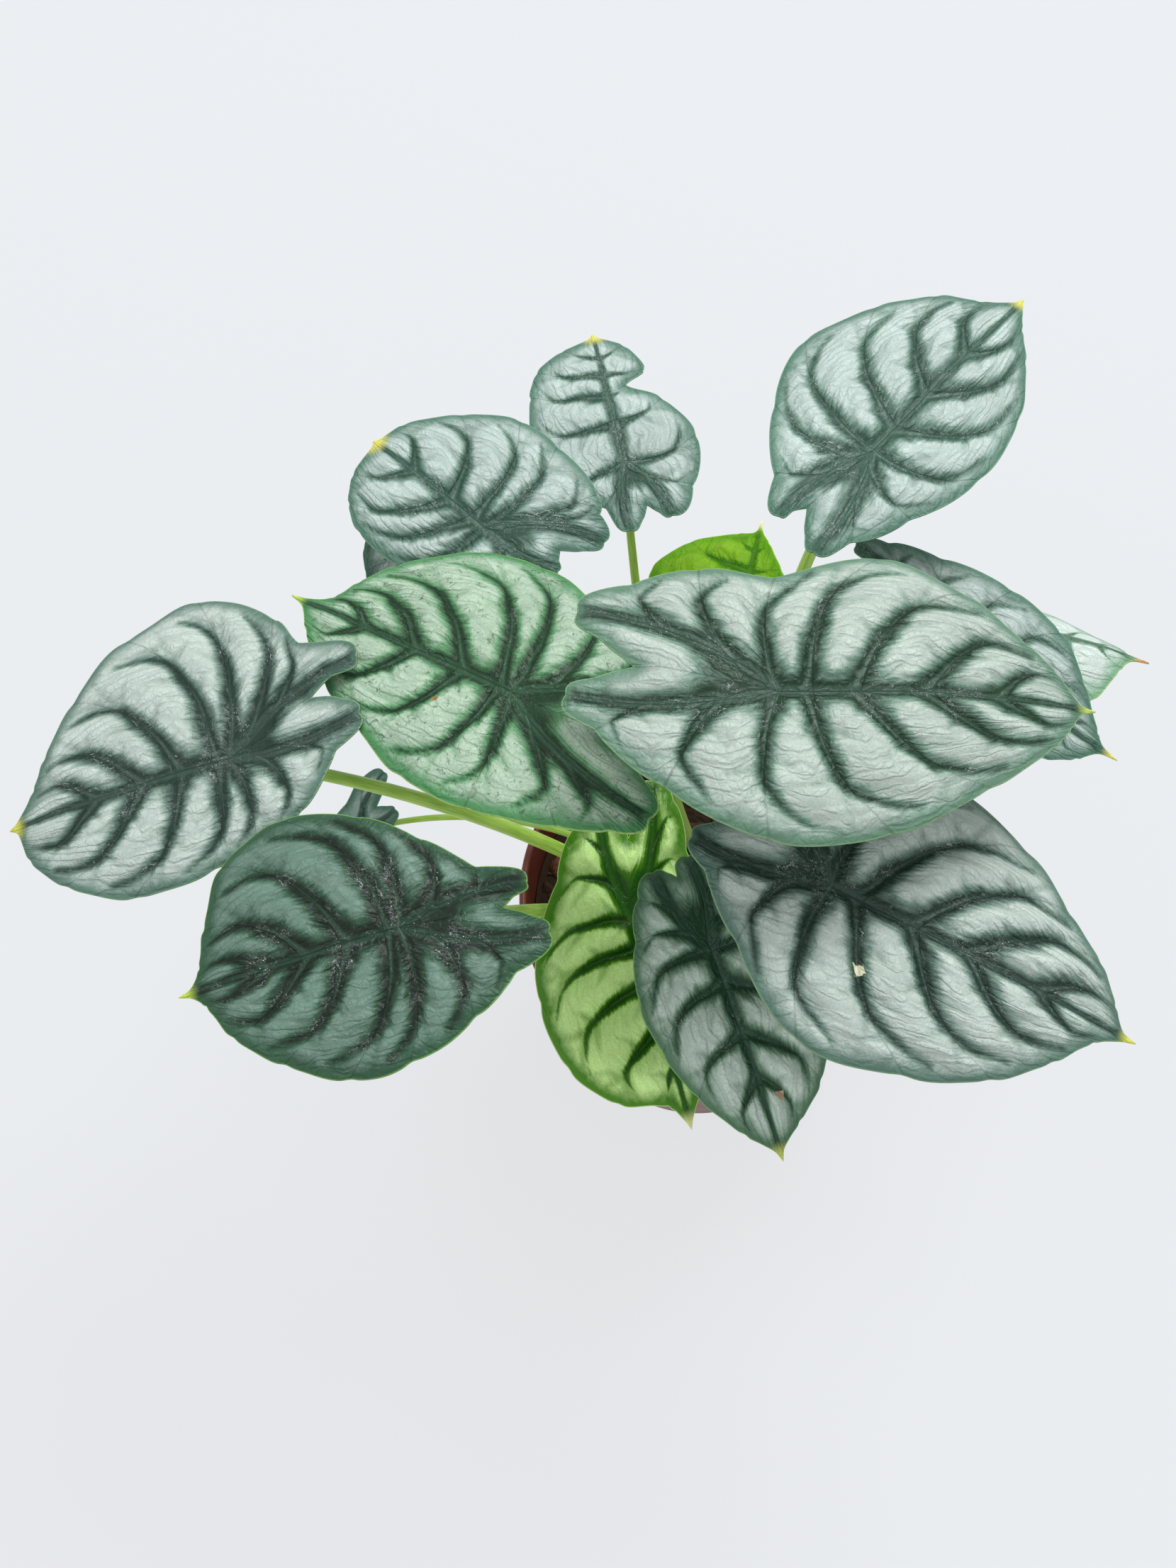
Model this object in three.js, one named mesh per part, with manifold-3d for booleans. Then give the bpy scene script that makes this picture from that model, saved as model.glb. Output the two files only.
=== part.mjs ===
// Potted silver dragon alocasia, in millimetres, +Z up.
// The origin is the centre of the pot's flat underside. +Y runs away from the side that the plant
// is seen from, and +X runs to that viewer's right.
import * as THREE from 'three';
import { mergeVertices } from 'three/addons/utils/BufferGeometryUtils.js';
import Module from 'manifold-3d';

const wasm = await Module();
wasm.setup();

// Gap left between two pieces that touch on the real plant.
const seatGap = 0.3;
const holeEase = 0.08;

// The pot is a plain tapered nursery pot, 12 cm across its rim.
const pot = {
  height: 105,
  footRadius: 45,
  rimRadius: 60,
  shoulderRadius: 57.4,
  shoulderHeight: 90,
  bandRadius: 58.8,
  wall: 1.5,
  lip: 2.4,
  floor: 2,
  footChamfer: 1.2,
  sides: 48,
  drains: 6,
  drainRadius: 4.5,
  drainRing: 29,
};

// The potting mix fills the pot to about 17 mm under the rim.
const mix = {
  level: 88,
  lump: 1.3,
  rings: [0.16, 0.36, 0.56, 0.76, 0.92],
};

// Fired clay balls lie half sunk in the mix. The first one lies where it shows beside the wall.
const pebbles = {
  count: 10,
  first: [-46.5, 15],
  smallest: 3.4,
  largest: 5.2,
  reach: 49,
  clearance: 1.2,
  seed: 7,
  attempts: 400,
};

// Every blade is a thin sheet, thicker under its midrib and ribs.
const blade = {
  thickness: 0.9,
  ribDepth: 1.1,
  veinDepth: 0.35,
  veinBow: 0.14,
  ribBow: 0.07,
  foldSpan: 30,
  backSpan: 40,
  linesPerPanel: 2,
  outerSteps: [0, 0.15, 0.48, 0.84, 1],
  innerSteps: [0, 0.5, 1],
  dripHalfWidth: 1.3,
  dripNeck: 3,
};

// A petiole is a tapering stalk. Its foot stands in a plain hole in the mix.
const petiole = {
  footHeight: 76,
  sides: 8,
  steps: 12,
};

// The leaves. Each blade has its own frame: the hub, where the petiole meets it, is its origin,
// u runs to the tip, v to the blade's left and w out of its upper face.
//   heading, pitch, roll: degrees. The tip heads that way from +X, pitch lifts it, and roll lifts
//     the blade's left side.
//   length: hub to the root of the drip tip, whose own length is drip.
//   fold, arch, droop, back: how the sheet bends. fold lifts both sides into a V, arch rounds them
//     down at 30 mm from the midrib, droop lowers the tip, and back lowers the lobes at 40 mm.
//   puff: height of the raised panels between the veins.
//   veins: pairs of main veins from the tip to the lobe ends. A row is the distance along the
//     midrib where the pair leaves it, then u and v of its left end and of its right end on the
//     margin. Below zero the distance is counted along each lobe's rib instead, and the last row
//     is the lobe ends.
//   inner: the margin halfway from each lobe's end to the notch between the lobes.
//   stalk: the petiole's foot, its two bending handles, and its radius at the hub and the foot.
const leaves = [
  {
    name: 'crown',
    colour: 0x9db3a3,
    hub: [6, -12, 285],
    heading: 4,
    pitch: -3,
    roll: 0,
    length: 78,
    drip: 4,
    fold: 0.12,
    arch: 6,
    droop: 18,
    back: 2,
    puff: 1.5,
    veins: [
      [57, 72.5, 8.5, 74.5, -5.5],
      [37.5, 65.5, 16, 68, -12],
      [20, 50.5, 28.5, 50, -23.5],
      [8.5, 30.5, 39, 24.5, -35],
      [0, 3, 32.5, -5.5, -35.5],
      [-15, -15.5, 35.5, -29, -22],
      [-32, -31.5, 32.5, -44, -7],
      [-50, -45, 25, -49.5, 3],
    ],
    inner: [[-40, 16], [-41.5, 7]],
    notch: [-33, 9],
    stalk: { foot: [4, -5], bend: [3, -3, 150], neck: [3, -3, 262], top: 1.8, base: 2.5 },
  },
  {
    name: 'mid_left',
    colour: 0x86a283,
    hub: [-58, 4.5, 248],
    heading: 146.5,
    pitch: -15,
    roll: 4,
    length: 71.5,
    drip: 4.5,
    fold: 0.1,
    arch: 5,
    droop: 4,
    back: 2,
    puff: 1.3,
    veins: [
      [51, 63.5, 8.5, 65, -5],
      [33, 48.5, 19.5, 61, -11.5],
      [17, 32, 26.5, 55, -21],
      [4.5, 12.5, 33, 39.5, -36],
      [0, -8.5, 32.5, 21, -41],
      [-11, -32.5, 26, -4, -35],
      [-22, -45, 21, -23, -28.5],
      [-47, -51, 13, -39.5, -15.5],
    ],
    inner: [[-41, 3], [-37.5, -6]],
    notch: [-31, -0.5],
    stalk: { foot: [-12.5, 3], bend: [-14, 12, 150], neck: [-45, 12, 225], top: 1.8, base: 2.4 },
  },
  {
    name: 'far_left',
    colour: 0x93aa9b,
    hub: [-131, -7, 232],
    heading: -168,
    pitch: -11,
    roll: 0,
    length: 62,
    drip: 2,
    fold: 0.1,
    arch: 4,
    droop: 6,
    back: -4,
    puff: 1.2,
    veins: [
      [39, 59, 10.5, 55.5, -8.5],
      [25.5, 49.5, 21, 51, -16],
      [14.5, 31, 29.5, 41.5, -30.5],
      [4.5, 9, 28.5, 24.5, -45],
      [0, -4, 25, 3, -50.5],
      [-9.5, -16.5, 20.5, -17.5, -37.5],
      [-19.5, -29, 7, -23.5, -27.5],
      [-39, -36.5, -1.5, -38.5, -17],
    ],
    inner: [[-31.5, -7.5], [-30, -13.5]],
    notch: [-24.5, -10],
    stalk: { foot: [-18.5, 1], bend: [-22, 6, 120], neck: [-95, -0.5, 208], top: 1.7, base: 2.4 },
  },
  {
    name: 'front_left',
    colour: 0x5f7f6c,
    hub: [-84.5, -57.5, 246],
    heading: -166.5,
    pitch: -9,
    roll: 0,
    length: 55,
    drip: 3.5,
    fold: 0.1,
    arch: 4,
    droop: 5,
    back: 2,
    puff: 1.3,
    veins: [
      [36, 52, 4.5, 52, -5.5],
      [25, 46.5, 14.5, 49, -15],
      [14.5, 35, 25, 41.5, -30],
      [3.5, 20, 33, 24, -37.5],
      [0, 4, 33.5, 5, -32.5],
      [-10.5, -13.5, 27, -9.5, -22],
      [-21, -25.5, 19, -21.5, -11],
      [-35, -35.5, 11, -33, -3],
    ],
    inner: [[-31.5, 5], [-28.5, -0.5]],
    notch: [-26, 1.5],
    stalk: { foot: [-14.5, -3.5], bend: [-22, -8, 125], neck: [-72, -42, 215], top: 1.7, base: 2.3 },
  },
  {
    name: 'front_right',
    colour: 0x6f8f7d,
    hub: [21, -47.5, 248],
    heading: -24,
    pitch: -8,
    roll: 0,
    length: 81.5,
    drip: 4,
    fold: 0.1,
    arch: 5,
    droop: 8,
    back: 2,
    puff: 2.2,
    veins: [
      [59, 77.5, 6, 75.5, -5],
      [39, 70, 14.5, 67.5, -14.5],
      [23.5, 58, 23, 54.5, -26],
      [8.5, 42.5, 33, 34.5, -34.5],
      [0, 18, 41.5, 6.5, -38],
      [-11, -6, 35.5, -16, -23],
      [-23, -23, 27.5, -30, -10],
      [-36, -29.5, 20.5, -36, -3],
    ],
    inner: [[-30, 15], [-32.5, 3]],
    notch: [-22.5, 9.5],
    stalk: { foot: [8.5, -11.5], bend: [9, -14, 150], neck: [17, -38, 222], top: 1.8, base: 2.4 },
  },
  {
    name: 'front_dark',
    colour: 0x5d7a6b,
    hub: [-6.5, -53, 214],
    heading: -70,
    pitch: -14,
    roll: 0,
    length: 54,
    drip: 3,
    fold: 0.1,
    arch: 5,
    droop: 5,
    back: 2,
    puff: 1.8,
    veins: [
      [36, 49, 7.5, 47.5, -7.5],
      [24, 41, 16, 34.5, -16],
      [10.5, 29, 22.5, 20.5, -21],
      [0, 10, 23.5, 6.5, -22.5],
      [-7.5, -6.5, 18.5, -8.5, -18.5],
      [-15, -18.5, 11, -19, -14],
      [-25, -25, 2.5, -24, -7.5],
    ],
    inner: [[-24.5, -1], [-22.5, -3.5]],
    notch: [-21, -2],
    stalk: { foot: [2.5, -15], bend: [4, -22, 140], neck: [9, -48, 190], top: 1.5, base: 2.1 },
  },
  {
    name: 'front_young',
    colour: 0x7f9a4c,
    hub: [-26.5, -35.5, 185],
    heading: -73,
    pitch: -12,
    roll: 0,
    length: 55.5,
    drip: 3,
    fold: 0.1,
    arch: 5,
    droop: 5,
    back: 0,
    puff: 1,
    veins: [
      [43, 50, 5, 51, -4.5],
      [31, 41.5, 11.5, 46.5, -17.5],
      [19, 29.5, 16, 33.5, -28],
      [9.5, 16.5, 18.5, 14.5, -30.5],
      [0, 2, 19.5, 0, -27],
      [-12, -15, 21, -16.5, -17],
      [-22, -29, 21.5, -29, -9],
      [-39, -36, 16.5, -38, 2],
    ],
    inner: [[-30, 10], [-31.5, 5.5]],
    notch: [-22.5, 6],
    stalk: { foot: [-1, -9], bend: [-5, -13, 130], neck: [-20, -32, 165], top: 1.4, base: 2 },
  },
  {
    name: 'back_right',
    colour: 0x93ab98,
    hub: [35, 66.5, 262],
    heading: 50.5,
    pitch: -6,
    roll: 0,
    length: 70.5,
    drip: 2.5,
    fold: 0.08,
    arch: 4,
    droop: 5,
    back: 2,
    puff: 1.3,
    veins: [
      [45, 64, 8.5, 63, -6],
      [25.5, 55.5, 18, 54, -13],
      [10.5, 41, 28, 36.5, -22.5],
      [0, 19.5, 36, 12.5, -26],
      [-7, -4, 29, -10.5, -20],
      [-15.5, -22.5, 15.5, -26.5, -12.5],
      [-33, -31, 6.5, -34, -6.5],
    ],
    inner: [[-27.5, 4.5], [-31, -1.5]],
    notch: [-25, 2.5],
    stalk: { foot: [7.5, 9.5], bend: [6, 22, 130], neck: [13, 54, 230], top: 1.6, base: 2.3 },
  },
  {
    name: 'back_bitten',
    colour: 0x9cb0a2,
    hub: [-28, 101, 198],
    heading: 100.5,
    pitch: -4,
    roll: 0,
    length: 49,
    drip: 1.5,
    fold: 0.06,
    arch: 3,
    droop: 4,
    back: 2,
    puff: 0.9,
    veins: [
      [41.5, 45, 10.5, 43.5, -8.5],
      [34, 38, 19.5, 32, -12.5],
      [26, 29, 23, 28, -6.5],
      [15, 13, 24.5, 21, -16],
      [0, -7, 20, 5, -23],
      [-7.5, -14.5, 8.5, -11, -19],
      [-22, -22.5, 2.5, -20, -10.5],
    ],
    inner: [[-19.5, -2], [-18, -6.5]],
    notch: [-15.5, -4],
    stalk: { foot: [2.5, 14.5], bend: [-20, 32, 120], neck: [-25, 92, 165], top: 1.2, base: 1.7 },
  },
  {
    name: 'back_left',
    colour: 0x86a090,
    hub: [-67, 66, 222],
    heading: 136,
    pitch: 0,
    roll: -6,
    length: 45,
    drip: 1,
    fold: 0.08,
    arch: 4,
    droop: 8,
    back: 3,
    puff: 1.1,
    veins: [
      [30, 42.5, 11.5, 42.5, -9],
      [14.5, 36, 19, 31.5, -22],
      [5.5, 27, 23.5, 17, -31.5],
      [0, 11, 23.5, 3, -32.5],
      [-9, -5.5, 18, -16, -29],
      [-14.5, -16.5, 7, -20.5, -25.5],
      [-29, -23.5, -5, -26.5, -20],
    ],
    inner: [[-21.5, -7.5], [-24, -13.5]],
    notch: [-20, -9.5],
    stalk: { foot: [-7.5, 6.5], bend: [-14, 14, 145], neck: [-55, 56, 200], top: 1.5, base: 2 },
  },
  {
    name: 'right',
    colour: 0x76957f,
    hub: [55, 28.5, 224],
    heading: -29,
    pitch: -8,
    roll: 8,
    length: 52,
    drip: 5.5,
    fold: 0.1,
    arch: 4,
    droop: 6,
    back: 2,
    puff: 1.2,
    veins: [
      [40, 49.5, 3.5, 47.5, -6],
      [28.5, 39.5, 13, 39, -11.5],
      [15, 27.5, 22, 24.5, -18],
      [6, 10, 25.5, 8.5, -21],
      [0, -11, 23.5, -8.5, -19],
      [-10.5, -25.5, 20, -20, -12],
      [-33, -32.5, 14.5, -30.5, -3],
    ],
    inner: [[-25, 11.5], [-28.5, 1.5]],
    notch: [-19, 4.5],
    stalk: { foot: [13, 7], bend: [18, 8, 140], neck: [44, 24, 205], top: 1.5, base: 2.1 },
  },
  {
    name: 'right_small',
    colour: 0x9fc08a,
    hub: [84, 61.5, 172],
    heading: -8,
    pitch: -6,
    roll: -22,
    length: 40.5,
    drip: 6,
    fold: -0.35,
    arch: 3,
    droop: 4,
    back: 2,
    puff: 0.8,
    veins: [
      [32, 39, 4.5, 37.5, -5],
      [21, 31, 9, 29.5, -16],
      [10, 16, 18, 16, -23],
      [0, -1, 22, 1, -24],
      [-8, -12, 18, -12.5, -18],
      [-22, -19, 10.5, -19, -11.5],
    ],
    inner: [[-17, 4], [-16, -7]],
    notch: [-11, -1.5],
    stalk: { foot: [13.5, 13], bend: [22, 19, 118], neck: [72, 52, 152], top: 1.1, base: 1.6 },
  },
  {
    name: 'back_young',
    colour: 0x83a83a,
    hub: [7.5, 65, 162],
    heading: 80,
    pitch: -4,
    roll: -12,
    length: 37,
    drip: 5.5,
    fold: 0.2,
    arch: 3,
    droop: 4,
    back: 2,
    puff: 0.9,
    veins: [
      [31, 35.5, 6.5, 32.5, -4],
      [22.5, 30.5, 20.5, 20.5, -10],
      [11.5, 18, 30.5, 8, -16],
      [0, 2, 27, -4.5, -19],
      [-10, -13, 21, -17.5, -16],
      [-24, -22, 9.5, -22, -9.5],
    ],
    inner: [[-20, 5], [-19.5, -5]],
    notch: [-13, 1],
    stalk: { foot: [8, 16.5], bend: [8, 26, 118], neck: [7, 54, 146], top: 1.1, base: 1.5 },
  },
  {
    name: 'low_small',
    colour: 0x7d9a76,
    hub: [-110, 15.5, 120],
    heading: -127,
    pitch: -8,
    roll: 0,
    length: 22.5,
    drip: 1.5,
    fold: 0.1,
    arch: 3,
    droop: 3,
    back: 1,
    puff: 0.5,
    veins: [
      [11, 16.5, 5, 16, -5],
      [4.5, 8.5, 9, 6.5, -8.5],
      [0, 0.5, 10, -5, -8.5],
      [-8.5, -8.5, 8.5, -14, -9.8],
      [-15, -12.5, 5.5, -20, -5],
    ],
    inner: [[-11.5, 2], [-16.5, -2]],
    notch: [-10, 0],
    stalk: { foot: [-18.5, 6], bend: [-25, 12, 140], neck: [-80, 32, 106], top: 0.9, base: 1.3 },
  },
  {
    name: 'back_left_small',
    colour: 0x8aa590,
    hub: [-89.5, 73.5, 198],
    heading: -106.5,
    pitch: -8,
    roll: 0,
    length: 21.5,
    drip: 1.5,
    fold: 0.1,
    arch: 3,
    droop: 3,
    back: 1,
    puff: 0.5,
    veins: [
      [13, 15, 4.5, 17, -6],
      [5.5, 7.5, 9, 11, -10],
      [0, 0, 9, 4.5, -12.5],
      [-5.5, -7.5, 5, -2.5, -12],
      [-12, -12.5, -1, -10, -7.5],
    ],
    inner: [[-10, -2], [-8.5, -5.5]],
    notch: [-6.5, -2.5],
    stalk: { foot: [-13, 9.5], bend: [-20, 16, 125], neck: [-76, 64, 176], top: 1, base: 1.4 },
  },
];

const stalkColour = 0x8fb544;

// A number between 0 and 1 from a seeded sequence, so that every build is the same.
function seededRandom(seed) {
  let state = seed;
  return () => {
    state = (state * 1664525 + 1013904223) % 4294967296;
    return state / 4294967296;
  };
}

// A closed geometry with only positions, its shared vertices merged.
function bareGeometry(positions, indices) {
  const geometry = new THREE.BufferGeometry();
  geometry.setAttribute('position', new THREE.Float32BufferAttribute(positions, 3));
  geometry.setIndex(indices);
  return geometry;
}

function merged(geometry) {
  const bare = geometry.clone();
  bare.deleteAttribute('normal');
  bare.deleteAttribute('uv');
  return mergeVertices(bare, 1e-4);
}

function toSolid(geometry) {
  const shared = merged(geometry);
  return new wasm.Manifold(new wasm.Mesh({
    numProp: 3,
    vertProperties: new Float32Array(shared.attributes.position.array),
    triVerts: new Uint32Array(shared.index.array),
  }));
}

function toGeometry(solid) {
  const mesh = solid.getMesh();
  return bareGeometry(Array.from(mesh.vertProperties), Array.from(mesh.triVerts));
}

function finish(colour, roughness) {
  return new THREE.MeshStandardMaterial({ color: colour, roughness, metalness: 0 });
}

function namedMesh(name, geometry, material) {
  const mesh = new THREE.Mesh(geometry, material);
  mesh.name = name;
  return mesh;
}

// Turning a profile of [radius, height] about Z gives the pot.
function potGeometry() {
  const bandFoot = pot.shoulderHeight + 1.2;
  const profile = [
    [0, 0],
    [pot.footRadius - pot.footChamfer, 0],
    [pot.footRadius, pot.footChamfer],
    [pot.shoulderRadius, pot.shoulderHeight],
    [pot.bandRadius, bandFoot],
    [pot.rimRadius, pot.height - 1],
    [pot.rimRadius - 0.7, pot.height],
    [pot.rimRadius - pot.lip + 0.7, pot.height],
    [pot.rimRadius - pot.lip, pot.height - 1],
    [innerRadius(pot.shoulderHeight) + 0.2, bandFoot],
    [innerRadius(pot.floor), pot.floor],
    [0, pot.floor],
  ];
  const points = profile.map(([radius, height]) => new THREE.Vector2(radius, height));
  const turned = new THREE.LatheGeometry(points, pot.sides).rotateX(Math.PI / 2);
  let solid = toSolid(turned);
  for (let i = 0; i < pot.drains; i += 1) {
    const angle = (2 * Math.PI * (i + 0.5)) / pot.drains;
    const drain = new THREE.CylinderGeometry(pot.drainRadius, pot.drainRadius, 3 * pot.floor, 16)
      .rotateX(Math.PI / 2)
      .translate(pot.drainRing * Math.cos(angle), pot.drainRing * Math.sin(angle), 0.5 * pot.floor);
    solid = solid.subtract(toSolid(drain));
  }
  return toGeometry(solid);
}

// The pot's inner wall runs parallel to its tapered outer wall.
function innerRadius(height) {
  const taper = (pot.shoulderRadius - pot.footRadius) / pot.shoulderHeight;
  return pot.footRadius + taper * height - pot.wall;
}

// The mix's top is lumpy, as coarse bark is.
function mixHeight(x, y) {
  const broad = Math.sin(0.11 * x + 0.4) * Math.cos(0.13 * y - 0.7);
  const fine = Math.sin(0.37 * x - 0.2 * y) * Math.cos(0.31 * y + 0.17 * x);
  return mix.level + mix.lump * (0.6 * broad + 0.5 * fine);
}

function mixGeometry() {
  const positions = [0, 0, mixHeight(0, 0)];
  const indices = [];
  const foot = pot.floor + seatGap;
  const topRadius = innerRadius(mix.level) - seatGap;
  const rings = mix.rings.map((share) => share * topRadius);
  rings.push(topRadius);
  const ringOf = (radius, heightAt) => {
    for (let i = 0; i < pot.sides; i += 1) {
      const angle = (2 * Math.PI * i) / pot.sides;
      const x = radius * Math.cos(angle);
      const y = radius * Math.sin(angle);
      positions.push(x, y, heightAt(x, y));
    }
  };
  for (const radius of rings) {
    ringOf(radius, radius === topRadius ? () => mix.level : mixHeight);
  }
  ringOf(innerRadius(foot) - seatGap, () => foot);
  positions.push(0, 0, foot);
  const last = positions.length / 3 - 1;
  for (let i = 0; i < pot.sides; i += 1) {
    const next = (i + 1) % pot.sides;
    indices.push(0, 1 + i, 1 + next);
    for (let ring = 0; ring < rings.length; ring += 1) {
      const here = 1 + ring * pot.sides;
      const below = here + pot.sides;
      indices.push(here + i, below + i, below + next);
      indices.push(here + i, below + next, here + next);
    }
    const lowest = 1 + rings.length * pot.sides;
    indices.push(last, lowest + next, lowest + i);
  }
  return bareGeometry(positions, indices);
}

// The blade's own axes: u to the tip, v to its left, w out of its upper face.
function bladeAxes(leaf) {
  const [heading, pitch, roll] = [leaf.heading, leaf.pitch, leaf.roll].map(THREE.MathUtils.degToRad);
  const u = new THREE.Vector3(
    Math.cos(heading) * Math.cos(pitch),
    Math.sin(heading) * Math.cos(pitch),
    Math.sin(pitch),
  );
  const side = new THREE.Vector3(-Math.sin(heading), Math.cos(heading), 0);
  const face = new THREE.Vector3().crossVectors(u, side);
  const v = side.multiplyScalar(Math.cos(roll)).addScaledVector(face, Math.sin(roll));
  const w = new THREE.Vector3().crossVectors(u, v);
  return { u, v, w };
}

// Height of the smooth sheet over the hub's plane.
function sheetHeight(leaf, u, v) {
  const across = leaf.fold * Math.abs(v) - leaf.arch * (v / blade.foldSpan) ** 2;
  const along = u > 0 ? leaf.droop * (u / leaf.length) ** 2 : leaf.back * (u / blade.backSpan) ** 2;
  return across - along;
}

// The sheet seen from above, as shared points and the triangles between them.
class Sheet {
  constructor() {
    this.points = [];
    this.places = new Map();
    this.faces = [];
  }

  // lift raises both faces of the blade, and rib thickens it underneath.
  add(u, v, lift, rib) {
    const key = `${u.toFixed(3)} ${v.toFixed(3)}`;
    if (!this.places.has(key)) {
      this.places.set(key, this.points.length);
      this.points.push({ u, v, lift, rib });
    }
    return this.places.get(key);
  }

  // Triangles between two neighbouring lines with as many points each. turn is 1 or -1.
  strip(line, next, turn) {
    for (let i = 0; i + 1 < line.length; i += 1) {
      this.face(line[i], line[i + 1], next[i + 1], turn);
      this.face(line[i], next[i + 1], next[i], turn);
    }
  }

  face(a, b, c, turn) {
    if (a !== b && b !== c && a !== c) {
      this.faces.push(turn > 0 ? [a, b, c] : [a, c, b]);
    }
  }

  // Edges that belong to one face only are the margin.
  margin() {
    const edges = new Map();
    for (const [a, b, c] of this.faces) {
      for (const [from, to] of [[a, b], [b, c], [c, a]]) {
        if (!edges.delete(`${to} ${from}`)) {
          edges.set(`${from} ${to}`, [from, to]);
        }
      }
    }
    return [...edges.values()];
  }
}

// The margin of one side as a smooth curve: drip tip, vein ends, lobe end, inner margin, notch.
function marginCurve(leaf, rows, side) {
  const column = side > 0 ? 1 : 3;
  const points = [[leaf.length + leaf.drip, 0]];
  for (const row of rows) {
    points.push([row[column], row[column + 1]]);
  }
  points.push(side > 0 ? leaf.inner[0] : leaf.inner[1], leaf.notch);
  const curve = new THREE.CatmullRomCurve3(points.map(([u, v]) => new THREE.Vector3(u, v, 0)));
  return (step) => curve.getPoint(step / (points.length - 1));
}

// One side of the blade, from the tip back to the notch.
function addSide(sheet, leaf, side) {
  const neck = [
    leaf.length - blade.dripNeck,
    leaf.length, blade.dripHalfWidth, leaf.length, -blade.dripHalfWidth,
  ];
  const rows = [neck, ...leaf.veins];
  const margin = marginCurve(leaf, rows, side);
  const lobeRow = rows.length - 1;
  const lobeEnd = margin(lobeRow + 1);
  const lobeLength = Math.hypot(lobeEnd.x, lobeEnd.y);
  const lines = blade.linesPerPanel;

  // A distance along the midrib, or below zero along the lobe's rib, as u and v. The rib bows
  // towards the outer margin.
  const onAxis = (distance) => {
    if (distance >= 0) {
      return [distance, 0];
    }
    const share = -distance / lobeLength;
    const bow = side * blade.ribBow * 4 * share * (1 - share);
    return [share * lobeEnd.x + bow * lobeEnd.y, share * lobeEnd.y - bow * lobeEnd.x];
  };
  const start = (row) => {
    if (row < 0) {
      return leaf.length + leaf.drip;
    }
    return row === lobeRow ? -lobeLength : rows[row][0];
  };

  const outer = [];
  const ribLine = [];
  for (let row = -1; row <= lobeRow; row += 1) {
    const between = row < 0 || row === lobeRow ? 1 : lines;
    for (let line = 0; line < between; line += 1) {
      const share = line / lines;
      const distance = start(row) * (1 - share) + (share ? start(row + 1) * share : 0);
      const [u0, v0] = onAxis(distance);
      const end = margin(row + 1 + share);
      const crest = Math.sin(Math.PI * share) ** 0.75;
      const span = Math.hypot(end.x - u0, end.y - v0);
      const puff = leaf.puff * crest * Math.min(1, span / 15);
      const forward = THREE.MathUtils.clamp(0.6 + (end.x - u0) / (span + 1), 0, 1);
      const points = blade.outerSteps.map((t) => {
        const bow = side * blade.veinBow * forward * 4 * t * (1 - t);
        const u = u0 + (end.x - u0) * t - (end.y - v0) * bow;
        const v = v0 + (end.y - v0) * t + (end.x - u0) * bow;
        const rib = t === 0 ? blade.ribDepth * Math.min(1, span / 12) : 0;
        const vein = share === 0 && t < 0.8 ? blade.veinDepth * Math.min(1, span / 12) : 0;
        return sheet.add(u, v, puff * Math.min(1, 6 * t * (1 - t)), Math.max(rib, vein));
      });
      if (outer.length) {
        sheet.strip(outer[outer.length - 1], points, side);
      }
      outer.push(points);
      if (distance <= 0) {
        ribLine.push([u0, v0, points[0]]);
      }
    }
  }

  // Between the rib and the line from the hub to the notch, then on to the inner margin.
  const half = (ribLine.length - 1) / 2;
  let previous = null;
  ribLine.forEach(([u0, v0, ribPoint], i) => {
    const share = i / half;
    const inner = share <= 1
      ? new THREE.Vector3(leaf.notch[0] * share, leaf.notch[1] * share, 0)
      : margin(rows.length + 2 - 2 * (share - 1));
    const points = blade.innerSteps.map((t) => {
      if (t === 0) {
        return ribPoint;
      }
      const lift = t < 1 ? 0.4 * leaf.puff * Math.sin(Math.PI * Math.min(1, share / 2)) : 0;
      return sheet.add(u0 + (inner.x - u0) * t, v0 + (inner.y - v0) * t, lift, 0);
    });
    if (previous) {
      sheet.strip(previous, points, -side);
    }
    previous = points;
  });
}

// Two faces alike and the margin between them close the blade.
function bladeGeometry(leaf) {
  const sheet = new Sheet();
  addSide(sheet, leaf, 1);
  addSide(sheet, leaf, -1);
  const upper = sheet.points.flatMap(({ u, v, lift }) => [u, v, sheetHeight(leaf, u, v) + lift]);
  const lower = sheet.points.flatMap(({ u, v, lift, rib }) => (
    [u, v, sheetHeight(leaf, u, v) + lift - blade.thickness - rib]));
  const under = sheet.points.length;
  const indices = [];
  for (const [a, b, c] of sheet.faces) {
    indices.push(a, b, c, a + under, c + under, b + under);
  }
  for (const [from, to] of sheet.margin()) {
    indices.push(to, from, from + under, to, from + under, to + under);
  }
  return bareGeometry([...upper, ...lower], indices);
}

function bladeMesh(leaf) {
  const mesh = namedMesh(`blade_${leaf.name}`, bladeGeometry(leaf), finish(leaf.colour, 0.5));
  const { u, v, w } = bladeAxes(leaf);
  mesh.quaternion.setFromRotationMatrix(new THREE.Matrix4().makeBasis(u, v, w));
  mesh.position.set(...leaf.hub);
  return mesh;
}

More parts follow.
